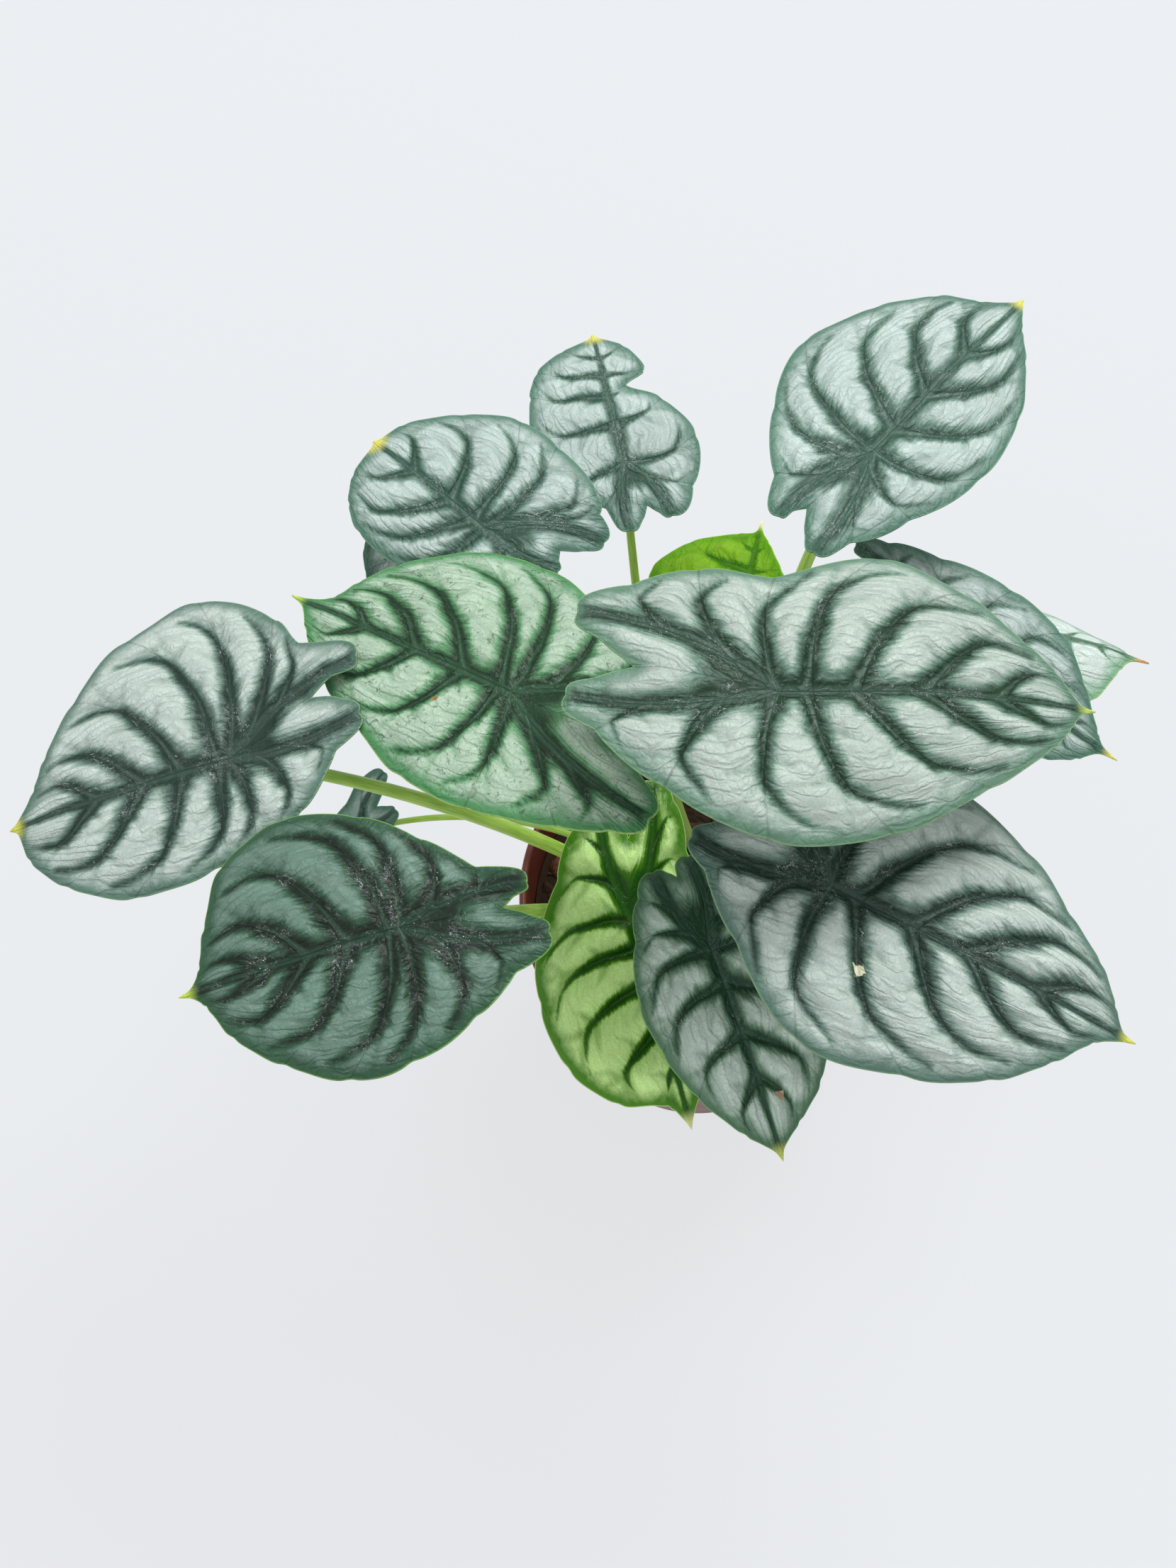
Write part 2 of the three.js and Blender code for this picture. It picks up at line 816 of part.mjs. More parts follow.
// A tapering stalk along a Bezier curve. Its last ring lies flat under the blade's hub. extra
// widens it, for the hole that it stands in.
function petioleGeometry(leaf, extra = 0) {
  const { stalk } = leaf;
  const { w } = bladeAxes(leaf);
  const hub = new THREE.Vector3(...leaf.hub);
  const sag = Math.max(0, -leaf.fold) * stalk.top;
  const depth = blade.thickness + blade.ribDepth + seatGap + sag;
  const top = hub.clone().addScaledVector(w, -depth);
  const path = new THREE.CubicBezierCurve3(
    new THREE.Vector3(...stalk.foot, petiole.footHeight),
    new THREE.Vector3(...stalk.bend),
    new THREE.Vector3(...stalk.neck),
    top,
  );
  const frames = path.computeFrenetFrames(petiole.steps, false);
  const positions = [];
  const indices = [];
  for (let i = 0; i <= petiole.steps; i += 1) {
    const centre = path.getPointAt(i / petiole.steps);
    const radius = THREE.MathUtils.lerp(stalk.base, stalk.top, i / petiole.steps) + extra;
    if (i === 0) {
      centre.addScaledVector(frames.tangents[0], -extra);
    }
    for (let j = 0; j < petiole.sides; j += 1) {
      const angle = (2 * Math.PI * j) / petiole.sides;
      const point = centre.clone()
        .addScaledVector(frames.normals[i], radius * Math.cos(angle))
        .addScaledVector(frames.binormals[i], radius * Math.sin(angle));
      if (i === petiole.steps) {
        const along = frames.tangents[i];
        point.addScaledVector(along, top.clone().sub(point).dot(w) / along.dot(w));
      }
      positions.push(point.x, point.y, point.z);
    }
  }
  const ends = [path.getPoint(0).addScaledVector(frames.tangents[0], -extra), top];
  for (const end of ends) {
    positions.push(end.x, end.y, end.z);
  }
  const lastRing = petiole.steps * petiole.sides;
  const footCentre = lastRing + petiole.sides;
  for (let j = 0; j < petiole.sides; j += 1) {
    const next = (j + 1) % petiole.sides;
    for (let ring = 0; ring < lastRing; ring += petiole.sides) {
      const above = ring + petiole.sides;
      indices.push(ring + j, ring + next, above + next);
      indices.push(ring + j, above + next, above + j);
    }
    indices.push(footCentre, next, j);
    indices.push(footCentre + 1, lastRing + j, lastRing + next);
  }
  return bareGeometry(positions, indices);
}

// Clay balls are scattered on the mix, clear of every petiole, of the wall and of each other.
function pebblePlaces() {
  const random = seededRandom(pebbles.seed);
  const stalkPoints = leaves.flatMap(({ stalk, hub }) => {
    const path = new THREE.CubicBezierCurve3(
      new THREE.Vector3(...stalk.foot, petiole.footHeight),
      new THREE.Vector3(...stalk.bend),
      new THREE.Vector3(...stalk.neck),
      new THREE.Vector3(...hub),
    );
    return path.getPoints(40).filter((point) => point.z < mix.level + 3 * pebbles.largest);
  });
  const places = [];
  for (let attempt = 0; attempt < pebbles.attempts && places.length < pebbles.count; attempt += 1) {
    const angle = 2 * Math.PI * random();
    const reach = pebbles.reach * Math.sqrt(random());
    const radius = THREE.MathUtils.lerp(pebbles.smallest, pebbles.largest, random());
    const [x, y] = attempt
      ? [reach * Math.cos(angle), reach * Math.sin(angle)]
      : pebbles.first;
    const clearOf = (px, py, other) => Math.hypot(x - px, y - py) > radius + other + pebbles.clearance;
    if (stalkPoints.every((point) => clearOf(point.x, point.y, 2.5))
      && places.every((place) => clearOf(place.x, place.y, place.radius))) {
      places.push({ x, y, radius, flat: 0.75 + 0.2 * random(), turn: 2 * Math.PI * random() });
    }
  }
  return places;
}

function pebbleGeometry(place, extra = 0) {
  const { x, y, radius, flat, turn } = place;
  return merged(new THREE.IcosahedronGeometry(1, 1))
    .scale(radius + extra, radius * 0.92 + extra, radius * flat + extra)
    .rotateZ(turn)
    .translate(x, y, mix.level + 0.15 * radius);
}

function mixWithHoles(places) {
  let solid = toSolid(mixGeometry());
  for (const leaf of leaves) {
    solid = solid.subtract(toSolid(petioleGeometry(leaf, seatGap + holeEase)));
  }
  for (const place of places) {
    solid = solid.subtract(toSolid(pebbleGeometry(place, seatGap + holeEase)));
  }
  return toGeometry(solid);
}

const plant = new THREE.Group();
const places = pebblePlaces();

plant.add(namedMesh('pot', potGeometry(), finish(0x8a3f33, 0.55)));
plant.add(namedMesh('potting_mix', mixWithHoles(places), finish(0x3a2a20, 0.95)));
places.forEach((place, i) => {
  const name = `clay_pebble_${String(i + 1).padStart(2, '0')}`;
  plant.add(namedMesh(name, pebbleGeometry(place), finish(0x8b5a3c, 0.9)));
});
for (const leaf of leaves) {
  plant.add(namedMesh(`petiole_${leaf.name}`, petioleGeometry(leaf), finish(stalkColour, 0.45)));
  plant.add(bladeMesh(leaf));
}

export default plant;
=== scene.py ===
"""Potted silver dragon alocasia: the finished look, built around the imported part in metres."""

import logging
import math
from dataclasses import dataclass, field
from enum import Enum

import bmesh
import bpy
import numpy as np
from mathutils import Matrix, Vector


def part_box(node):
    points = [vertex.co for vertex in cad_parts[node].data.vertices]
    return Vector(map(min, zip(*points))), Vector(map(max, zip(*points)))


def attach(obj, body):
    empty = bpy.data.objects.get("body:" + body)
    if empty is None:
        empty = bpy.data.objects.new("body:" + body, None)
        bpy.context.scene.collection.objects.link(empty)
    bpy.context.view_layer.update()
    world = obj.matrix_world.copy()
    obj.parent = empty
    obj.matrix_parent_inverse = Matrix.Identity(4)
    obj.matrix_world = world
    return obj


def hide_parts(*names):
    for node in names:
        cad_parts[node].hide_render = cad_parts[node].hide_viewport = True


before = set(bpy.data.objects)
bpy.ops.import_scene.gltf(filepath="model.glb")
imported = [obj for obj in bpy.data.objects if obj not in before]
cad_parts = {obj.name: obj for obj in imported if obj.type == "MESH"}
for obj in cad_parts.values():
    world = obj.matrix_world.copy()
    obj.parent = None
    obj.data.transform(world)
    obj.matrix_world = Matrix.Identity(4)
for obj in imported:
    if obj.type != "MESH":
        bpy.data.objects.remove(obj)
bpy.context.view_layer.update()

LOG = logging.getLogger("alocasia")
MM = 0.001
BODY = "root"
FULL_TURN = math.tau
GROWN_LENGTH = 50.0

Rows = list[tuple]
Socket = bpy.types.NodeSocket

# What the mode after a node's type sets, and which of its outputs is used.
MODES = {
    "Attribute": ("attribute_name", 2), "MapRange": ("interpolation_type", 0), "Math": ("operation", 0),
    "Mix": ("data_type", 2), "TexCoord": ("", 3), "TexVoronoi": ("feature", 0),
    "VectorMath": ("operation", 0),
}
# A range takes its value, from low, from high, to low and to high. A fade does too, but eases in and
# out. Noise takes its place, nothing, its scale, detail and roughness. A mix takes its factor as 0 and
# its two colours as 6 and 7.
RANGE = "MapRange LINEAR"
FADE = "MapRange SMOOTHSTEP"
NOISE = "TexNoise"
CELLS = "TexVoronoi DISTANCE_TO_EDGE"
DOTS = "TexVoronoi F1"
MIX = "Mix RGBA"
RAMP = "ValToRGB"
TIMES = "Math MULTIPLY"
TIMES_PLUS = "Math MULTIPLY_ADD"
MOST = "Math MAXIMUM"


def linear(colour: str) -> tuple[float, float, float, float]:
    """Turns an sRGB hex colour into linear red, green, blue and alpha.

    Args:
        colour: six hex digits, such as "9db3a3".

    Returns:
        The linear colour with an alpha of 1.
    """
    parts = [int(colour[i:i + 2], 16) / 255.0 for i in (0, 2, 4)]
    turned = [p / 12.92 if p <= 0.04045 else ((p + 0.055) / 1.055) ** 2.4 for p in parts]
    return (*turned, 1.0)


def per(size: float) -> float:
    """Gives the pattern scale for features of a size in millimetres."""
    return 1.0 / (size * MM)


def connect(node: bpy.types.Node, inputs: tuple | dict, made: dict[str, Socket]) -> None:
    """Gives a shader node its inputs.

    Args:
        node: the node.
        inputs: numbers, colours or names of sockets, by input, or in order with None to skip one.
        made: the sockets made so far, by name.
    """
    for key, value in inputs.items() if isinstance(inputs, dict) else enumerate(inputs):
        if isinstance(value, str):
            node.id_data.links.new(made[value], node.inputs[key])
        elif value is not None:
            node.inputs[key].default_value = value


def add_node(tree: bpy.types.NodeTree, made: dict[str, Socket], kind: str, inputs: tuple | dict = (),
             stops: tuple = ()) -> Socket:
    """Adds one shader node.

    Args:
        tree: the material's node tree.
        made: the sockets made so far, by name.
        kind: the node's type without "ShaderNode", then its mode if it has one.
        inputs: what it takes, as connect has it.
        stops: places and colours of a colour ramp.

    Returns:
        The output that is used.
    """
    kind, _, mode = kind.partition(" ")
    attribute, out = MODES.get(kind, ("", 0))
    node = tree.nodes.new(f"ShaderNode{kind}")
    if mode:
        setattr(node, attribute, mode)
    elements = node.color_ramp.elements if stops else ()
    while len(elements) < len(stops):
        elements.new(0.5)
    for element, (place, colour) in zip(elements, stops):
        element.position = place
        element.color = linear(colour)
    connect(node, inputs, made)
    return node.outputs[out]


def new_material(name: str, rows: Rows, inputs: dict) -> bpy.types.Material:
    """Makes a material from a table of shader nodes.

    Args:
        name: the material's name.
        rows: what each node's socket is called, then its kind, inputs and stops. A later row may
            take over a name. "place" is the piece's own coordinates.
        inputs: what the Principled shader takes.

    Returns:
        The material.
    """
    material = bpy.data.materials.new(name)
    material.use_nodes = True
    tree = material.node_tree
    made = {}
    for row in [("place", "TexCoord"), *rows]:
        made[row[0]] = add_node(tree, made, *row[1:])
    connect(tree.nodes["Principled BSDF"], inputs, made)
    return material


def new_object(name: str, mesh: bpy.types.Mesh, materials: list[bpy.types.Material],
               smooth: bool = True) -> bpy.types.Object:
    """Puts a mesh in the scene as a named object.

    Args:
        name: the piece's name.
        mesh: its mesh.
        materials: one for each material slot.
        smooth: whether its faces are shaded smooth.

    Returns:
        The object, which rides on nothing yet.
    """
    for material in materials:
        mesh.materials.append(material)
    mesh.polygons.foreach_set("use_smooth", [smooth] * len(mesh.polygons))
    piece = bpy.data.objects.new(name, mesh)
    bpy.context.scene.collection.objects.link(piece)
    return piece


def settle(piece: bpy.types.Object, slot: str, *nodes: str) -> None:
    """Lets a piece ride on the part's body in place of the CAD nodes that it stands for.

    Args:
        piece: the finished piece.
        slot: the record's material slot; not used.
        nodes: the CAD nodes that it replaces.
    """
    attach(piece, BODY)
    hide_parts(*nodes)
    LOG.info("%s: %d faces, for %s", piece.name, len(piece.data.polygons), ", ".join(nodes))


def mesh_from(name: str, points: np.ndarray, faces: list, values: dict | None = None) -> bpy.types.Mesh:
    """Makes a mesh.

    Args:
        name: the mesh's name.
        points: places in metres.
        faces: point numbers of each face.
        values: numbers to store for each point, by name.

    Returns:
        The mesh.
    """
    mesh = bpy.data.meshes.new(name)
    mesh.from_pydata(points.tolist(), [], faces)
    mesh.validate()
    mesh.update()
    for key, numbers in (values or {}).items():
        layer = mesh.attributes.new(key, "FLOAT", "POINT")
        layer.data.foreach_set("value", np.asarray(numbers, dtype=np.float32))
    return mesh


def mesh_of(name: str, bm: bmesh.types.BMesh) -> bpy.types.Mesh:
    """Turns a bmesh into a named mesh and frees it."""
    mesh = bpy.data.meshes.new(name)
    bm.to_mesh(mesh)
    bm.free()
    return mesh


def ring(radius: float, height: float, sides: int) -> np.ndarray:
    """Points of a level circle about the Z axis."""
    angle = np.linspace(0.0, FULL_TURN, sides, endpoint=False)
    return np.column_stack([radius * np.cos(angle), radius * np.sin(angle), np.full(sides, height)])


def ring_faces(rings: int, sides: int, over: bool = False) -> list[list[int]]:
    """Joins rings of points to a closed surface.

    Args:
        rings: how many rings there are.
        sides: points in each ring.
        over: whether the faces look the other way.

    Returns:
        The faces. A middle point for the first ring and one for the last come after the rings.
    """
    first = rings * sides
    faces = []
    for j in range(sides):
        k = (j + 1) % sides
        faces += [[first, k, j], [first + 1, first - sides + j, first - sides + k]]
        for row in range(0, first - sides, sides):
            faces.append([row + j, row + k, row + sides + k, row + sides + j])
    return [[face[0], *face[:0:-1]] for face in faces] if over else faces


def smoothstep(low: float, high: float, value: np.ndarray) -> np.ndarray:
    """Rises smoothly from 0 at low to 1 at high."""
    share = np.clip((value - low) / (high - low), 0.0, 1.0)
    return share * share * (3.0 - 2.0 * share)


def bell(value: np.ndarray, width: float) -> np.ndarray:
    """Falls smoothly from 1 at 0 to 0 a few widths away."""
    return np.exp(-((value / width) ** 2))


def ripple(u: np.ndarray, v: np.ndarray, period: float, seed: int) -> np.ndarray:
    """A smooth seeded unevenness between about -1 and 1.

    Args:
        u: first coordinate in millimetres.
        v: second coordinate in millimetres.
        period: its rough wavelength in millimetres.
        seed: chooses the pattern.

    Returns:
        The height at each point.
    """
    draw = np.random.default_rng(seed)
    total = np.zeros_like(u)
    for _ in range(5):
        angle = draw.uniform(0.0, FULL_TURN)
        rate = FULL_TURN / (period * draw.uniform(0.7, 1.5))
        total += np.sin(rate * (u * math.cos(angle) + v * math.sin(angle)) + draw.uniform(0.0, FULL_TURN))
    return total / 2.6


def distance_to(points: np.ndarray, lines: list[np.ndarray], fade: float = 0.0) -> np.ndarray:
    """Distance from each point to the nearest of several polylines.

    Args:
        points: places as rows of u and v.
        lines: polylines as rows of u and v.
        fade: what is added to the distance from a line's far end, so that it peters out there.

    Returns:
        The shortest distance for each point.
    """
    nearest = np.full(len(points), np.inf)
    for line in lines:
        for i, (start, end) in enumerate(zip(line[:-1], line[1:])):
            step = end - start
            offset = points - start
            share = np.clip(offset @ step / max(step @ step, 1e-9), 0.0, 1.0)
            gap = offset - share[:, None] * step
            extra = fade * ((i + share) / (len(line) - 1)) ** 2
            nearest = np.minimum(nearest, np.hypot(gap[:, 0], gap[:, 1]) + extra)
    return nearest


class BladeAge(Enum):
    """How old a blade is and how its skin has weathered, which sets its colours."""

    SILVER = "silver"
    ASH = "ash"
    SOFT = "soft"
    GREEN = "green"
    DARK = "dark"
    DUSKY = "dusky"
    YOUNG = "young"
    FRESH = "fresh"
    PALE = "pale"


YOUNG_AGES = (BladeAge.YOUNG, BladeAge.FRESH, BladeAge.PALE)
STORED = ("vein", "edge", "along", "band", "strip", "minor", "panel", "tip", "scar")


@dataclass(frozen=True)
class BladeFinish:
    """Waxy leaf skin, grown in one piece. Air under the skin makes dusty silver islands between
    the veins. They end in soft hairs against deep green bands, and a greyer strip runs along each
    vein. Dry wax leaves crusty white outlines and specks on the bands. Both faces of a blade
    wear it."""

    name: str
    silver: str
    fringe: str
    band: str
    strip: str
    rim: str
    margin: str
    tip: str
    thread: str = "9fb0a4"
    thread_share: float = 0.16
    scar: str = "dcdcbc"
    wax: str = "dde5e2"
    sore: str = "34512f"
    roughness: float = 0.46
    gloss: float = 0.32
    quilt: float = 0.6
    # Painted shade in part: how far the silver gives way to green along the side-vein creases, partly the
    # veins' own colour and partly painted crease shade.
    crease: float = 0.26
    dust: float = 0.45
    fleck: float = 0.0
    swell: float = 1.0

    def material(self) -> bpy.types.Material:
        """Builds the material, which reads the distances stored in the blade's mesh.

        Returns:
            The material.
        """
        rows = self.noises() + self.islands() + self.emboss() + self.veined()
        rows += self.dusted() if self.dust > 0.0 else []
        rows += self.flecked() if self.fleck > 0.0 else []
        rows += self.edged() + [
            ("rough", RANGE, ("grain", 0.2, 0.8, self.roughness - 0.08, self.roughness + 0.1)),
            ("skin", "Bump", (0.4, 0.14 * MM, None, "grain")),
            ("skin", "Bump", (self.quilt, 0.5 * MM, None, "emboss", "skin")),
        ]
        return new_material(f"leaf_skin_{self.name}", rows, {
            "Base Color": "colour", "Roughness": "rough", "Specular IOR Level": self.gloss, "Normal": "skin",
        })

    def fibre(self, name: str, across: float, out: float) -> Rows:
        """Noise drawn out into fibres that stand square to the veins.

        Args:
            name: what it is called.
            across: fibres per millimetre along the vein.
            out: how fast they change per millimetre away from it.

        Returns:
            Its rows.
        """
        return [
            ("lay", "CombineXYZ", ("along", "vein", "panel")),
            ("lay", "VectorMath MULTIPLY", ("lay", (across, out, 7.3))),
            (name, NOISE, ("lay", None, 1.0, 4.0, 0.62)),
        ]

    def noises(self) -> Rows:
        """The stored distances, and the distance from the veins in band widths with its hairs."""
        return [
            *((name, f"Attribute {name}") for name in STORED),
            ("blot", NOISE, ("place", None, per(8.0), 4.0, 0.6)),
            ("grain", NOISE, ("place", None, per(0.5), 2.0, 0.7)),
            *self.fibre("fibre", 1.5, 0.16),
            ("hairs", TIMES_PLUS, ("fibre", 1.2, -0.6)),
            ("waves", TIMES_PLUS, ("blot", 1.5, -0.75)),
            ("uneven", "Math ADD", ("hairs", "waves")),
            ("grown", RANGE, ("band", 0.3, 1.2, 0.2, 1.0)),
            ("reach", TIMES_PLUS, ("uneven", "grown", "band")),
        ]

    def islands(self) -> Rows:
        """Silver islands that fade into the bands, the creases and the margin. Along the side veins the fade
        is partly their own colour and partly painted shade in their creases.
        """
        return [
            ("clear", FADE, ("reach", 0.3, 2.15, 0.0, 1.0)),
            ("inland", "Math ADD", ("edge", -2.5)),
            ("inland", TIMES_PLUS, ("blot", 5.0, "inland")),
            ("inland", FADE, ("inland", 0.3, 5.5, 0.45, 1.0)),
            # Painted shade in part: the silver drops towards green along the side-vein creases, partly for
            # the veins' own colour and partly standing for shade in the creases.
            ("open_skin", FADE, ("minor", 0.0, 2.4, 1.0 - self.crease, 1.0)),
            ("share", TIMES, ("clear", "inland")),
            ("share", TIMES, ("share", "open_skin")),
            ("colour", RAMP, ("share",), ((0.06, self.band), (0.5, self.fringe), (0.96, self.silver))),
        ]

    def emboss(self) -> Rows:
        """The net of smallest veins, and the grain of the air-filled cells, drawn 0.5 mm wide so
        that it shows. Arcs leave the veins about 3 mm apart, with cells of 2 mm between them. Along its
        lines the colour is darkened, partly the veins' own colour and partly painted shade in the fine
        creases."""
        return [
            ("arc", TIMES, ("along", 0.34)),
            ("out", TIMES, ("vein", 0.13)),
            ("side", TIMES, ("panel", 5.0)),
            ("bent", NOISE, ("place", None, per(5.0), 2.0)),
            ("bent", TIMES_PLUS, ("bent", 0.9, "arc")),
            ("bent", TIMES_PLUS, ("out", -0.9, "bent")),
            ("lay", "CombineXYZ", ("bent", "out", "side")),
            ("arcs", CELLS, ("lay", None, 1.0)),
            ("arcs", FADE, ("arcs", 0.0, 0.17, 0.0, 1.0)),
            ("cells", CELLS, ("place", None, per(2.1))),
            ("cells", FADE, ("cells", 0.0, 0.2, 0.6, 1.0)),
            ("emboss", TIMES, ("arcs", "cells")),
            # Painted shade in part: the colour is darkened along the emboss lines, partly the smallest veins'
            # own colour and partly shade in the fine creases.
            ("net", RANGE, ("emboss", 0.0, 1.0, 1.0 - 0.2 * self.quilt, 1.02)),
            ("cloud", NOISE, ("place", None, per(20.0), 5.0, 0.65)),
            ("cloud", RANGE, ("cloud", 0.3, 0.7, 0.87, 1.09)),
            ("tone", RANGE, ("grain", 0.25, 0.75, 0.83, 1.12)),
            ("tone", TIMES, ("tone", "cloud")),
            ("tone", TIMES, ("tone", "net")),
            ("colour", "VectorMath SCALE", {0: "colour", 3: "tone"}),
        ]

    def veined(self) -> Rows:
        """The greyer strip along each vein and a broken thin thread on it."""
        return [
            ("ragged", TIMES_PLUS, ("fibre", 0.5, "strip")),
            ("ragged", FADE, ("ragged", 0.7, 1.35, 0.55, 0.0)),
            ("colour", MIX, {0: "ragged", 6: "colour", 7: linear(self.strip)}),
            ("broken", RANGE, ("blot", 0.4, 0.62, 0.1, 1.0)),
            ("thread", TIMES_PLUS, ("minor", 1.6, 0.05)),
            ("thread", "Math MINIMUM", ("vein", "thread")),
            ("thread", FADE, ("thread", 0.05, 0.3, self.thread_share, 0.0)),
            ("thread", TIMES, ("thread", "broken")),
            ("colour", MIX, {0: "thread", 6: "colour", 7: linear(self.thread)}),
        ]

    def dusted(self) -> Rows:
        """Crusty outlines of dry wax near the veins, specks and hair scratches."""
        rows = [
            ("patch", NOISE, ("place", None, per(13.0), 4.0, 0.7)),
            ("patch", FADE, ("patch", 0.52 - 0.12 * self.dust, 0.7 - 0.1 * self.dust, 0.0, 1.0)),
            ("zone", FADE, ("reach", 0.5, 1.9, 1.0, 0.12)),
            ("crust", NOISE, ("place", None, per(4.2), 5.0, 0.7)),
            ("follow", TIMES_PLUS, ("crust", 2.6, "band")),
            ("speck", DOTS, ("place", None, per(1.15))),
            ("speck", FADE, ("speck", 0.06, 0.17, 0.75, 0.0)),
            ("torn", NOISE, ("place", None, per(3.4), 3.0, 0.7)),
            ("torn", FADE, ("torn", 0.5, 0.62, 0.0, 1.0)),
            *self.fibre("hair", 0.8, 0.3),
        ]
        # Each line runs where its noise crosses a level.
        lines = (("crust", 0.5, 0.008, 0.4), ("follow", 2.0, 0.075, 0.8),
                 ("hair", 0.52, 0.012, 0.55 * self.dust))
        for name, level, width, most in lines:
            rows += [
                (name, "Math SUBTRACT", (name, level)),
                (name, "Math ABSOLUTE", (name,)),
                (name, FADE, (name, 0.0, width, most, 0.0)),
            ]
        return rows + [
            ("follow", TIMES, ("follow", "torn")),
            ("marks", MOST, ("crust", "speck")),
            ("marks", MOST, ("marks", "follow")),
            ("marks", TIMES, ("marks", "patch")),
            ("marks", TIMES, ("marks", "zone")),
            ("hair", TIMES, ("hair", "patch")),
            ("marks", MOST, ("marks", "hair")),
            ("marks", TIMES, ("marks", 1.5 * self.dust)),
            ("colour", MIX, {0: "marks", 6: "colour", 7: linear(self.wax)}),
        ]

    def flecked(self) -> Rows:
        """Small dark sore flecks."""
        return [
            ("fleck", NOISE, {0: "place", 2: per(2.6), 3: 6.0, 4: 0.8, 8: 1.2}),
            ("fleck", FADE, ("fleck", 0.57, 0.61, 0.0, self.fleck)),
            ("colour", MIX, {0: "fleck", 6: "colour", 7: linear(self.sore)}),
        ]

    def edged(self) -> Rows:
        """The greener rim, its thin pale line, the tip and any dry scar."""
        steps = (
            ("edge", 0.4, 2.3, 0.7, self.rim), ("edge", 0.06, 0.34, 0.7, self.margin),
            ("tip", 1.5, 6.0, 1.0, self.tip), ("scar", 0.85, 1.1, 1.0, self.scar),
        )
        return [row for name, near, far, most, paint in steps for row in (
            ("near", FADE, (name, near, far, most, 0.0)),
            ("colour", MIX, {0: "near", 6: "colour", 7: linear(paint)}),
        )]


FINISHES = {
    BladeAge.SILVER: BladeFinish(
        "silver", "b0beb3", "6b8a79", "0e331c", "3f594b", "557d61", "8fb383", "b4c656"),
    BladeAge.ASH: BladeFinish(
        "ash", "b6c4bb", "6f897c", "1b352a", "3b5148", "44695a", "84a878", "c8c84c", dust=0.55),
    BladeAge.SOFT: BladeFinish(
        "soft", "b2c2bc", "6b897c", "28493a", "486558", "3f6d58", "7da284", "d6d060", dust=0.6),
    BladeAge.GREEN: BladeFinish(
        "green", "a8c0a8", "5b9264", "0a3215", "2f573c", "3f8448", "a8cc70", "b7cf4c", dust=0.3,
        fleck=0.7, scar="9a6a3a"),
    BladeAge.DARK: BladeFinish(
        "dark", "668374", "2f533d", "061d0d", "244632", "2e5739", "82b552", "b9d04a", dust=0.55),
    BladeAge.DUSKY: BladeFinish(
        "dusky", "c2d3c5", "72947a", "21452b", "2f5140", "3f6a48", "7fae5a", "c3cf62", dust=0.4,
        scar="b99a7c", swell=1.15),
    # Painted light and shade: on the young blade the pale panel colour stands partly for light on the puffed
    # pillow tops, and the dark band colour stands partly for shade in the valleys between them.
    BladeAge.YOUNG: BladeFinish(
        "young", "cdf296", "478503", "174d00", "2b6500", "4c8f06", "d2e394", "e3e69c",
        thread="7d4d2a", thread_share=0.5, roughness=0.36, gloss=0.32, quilt=0.35, dust=0.0, swell=3.0),
    BladeAge.FRESH: BladeFinish(
        "fresh", "7aac1c", "5f9a04", "376f00", "4a8000", "5f9c10", "c9e08a", "e3e69c",
        thread="6f8a2a", roughness=0.44, gloss=0.12, quilt=0.5, dust=0.0, swell=1.3),
    BladeAge.PALE: BladeFinish(
        "pale", "cad8d0", "8fb098", "486b54", "5f8169", "6f9f78", "a9cf7c", "e6a463", dust=0.2),
}


@dataclass(frozen=True)
class StalkFinish:
    """Waxy leaf stalk, grown in one piece: bright, slightly streaked along its length, and paler
    towards the foot."""

    light: str = "b6d65e"
    deep: str = "8cb83c"
    foot: str = "c6d09a"

    def material(self) -> bpy.types.Material:
        """Builds the stalk's satin green material.

        Returns:
            The material.
        """
        return new_material("waxy_leaf_stalk", [
            ("height", "Attribute height"),
            ("around", "Attribute around"),
            ("lay", "CombineXYZ", ("around", "height")),
            ("lay", "VectorMath MULTIPLY", ("lay", (3.0, 6.0, 0.0))),
            ("streak", NOISE, ("lay", None, 3.0, 4.0)),
            ("colour", RAMP, ("streak",), ((0.32, self.deep), (0.68, self.light))),
            ("pale", FADE, ("height", 0.05, 0.3, 0.75, 0.0)),
            ("colour", MIX, {0: "pale", 6: "colour", 7: linear(self.foot)}),
        ], {"Base Color": "colour", "Roughness": 0.38, "IOR": 1.42})


@dataclass(frozen=True)
class MouldedPolypropylene:
    """Thin brick-red polypropylene, injection moulded, with scuffs and a fine moulded grain."""

    colour: str = "74352a"
    shaded: str = "5f271e"
    scuffed: str = "925449"
    roughness: float = 0.46

    def material(self) -> bpy.types.Material:
        """Builds the pot's material.

        Returns:
            The material.
        """
        return new_material("moulded_polypropylene", [
            ("cloud", NOISE, ("place", None, per(22.0), 6.0, 0.6)),
            ("scuff", NOISE, {0: "place", 2: per(2.2), 3: 8.0, 4: 0.75, 8: 0.8}),
            ("scuff", FADE, ("scuff", 0.6, 0.72, 0.0, 0.55)),
            ("colour", RAMP, ("cloud",), ((0.3, self.shaded), (0.7, self.colour))),
            ("colour", MIX, {0: "scuff", 6: "colour", 7: linear(self.scuffed)}),
            ("rough", RANGE, ("cloud", 0.3, 0.7, self.roughness - 0.06, self.roughness + 0.1)),
            ("grain", NOISE, ("place", None, per(0.9), 3.0)),
            ("grain", "Bump", (0.3, 0.1 * MM, None, "grain")),
        ], {"Base Color": "colour", "Roughness": "rough", "Normal": "grain", "IOR": 1.49})


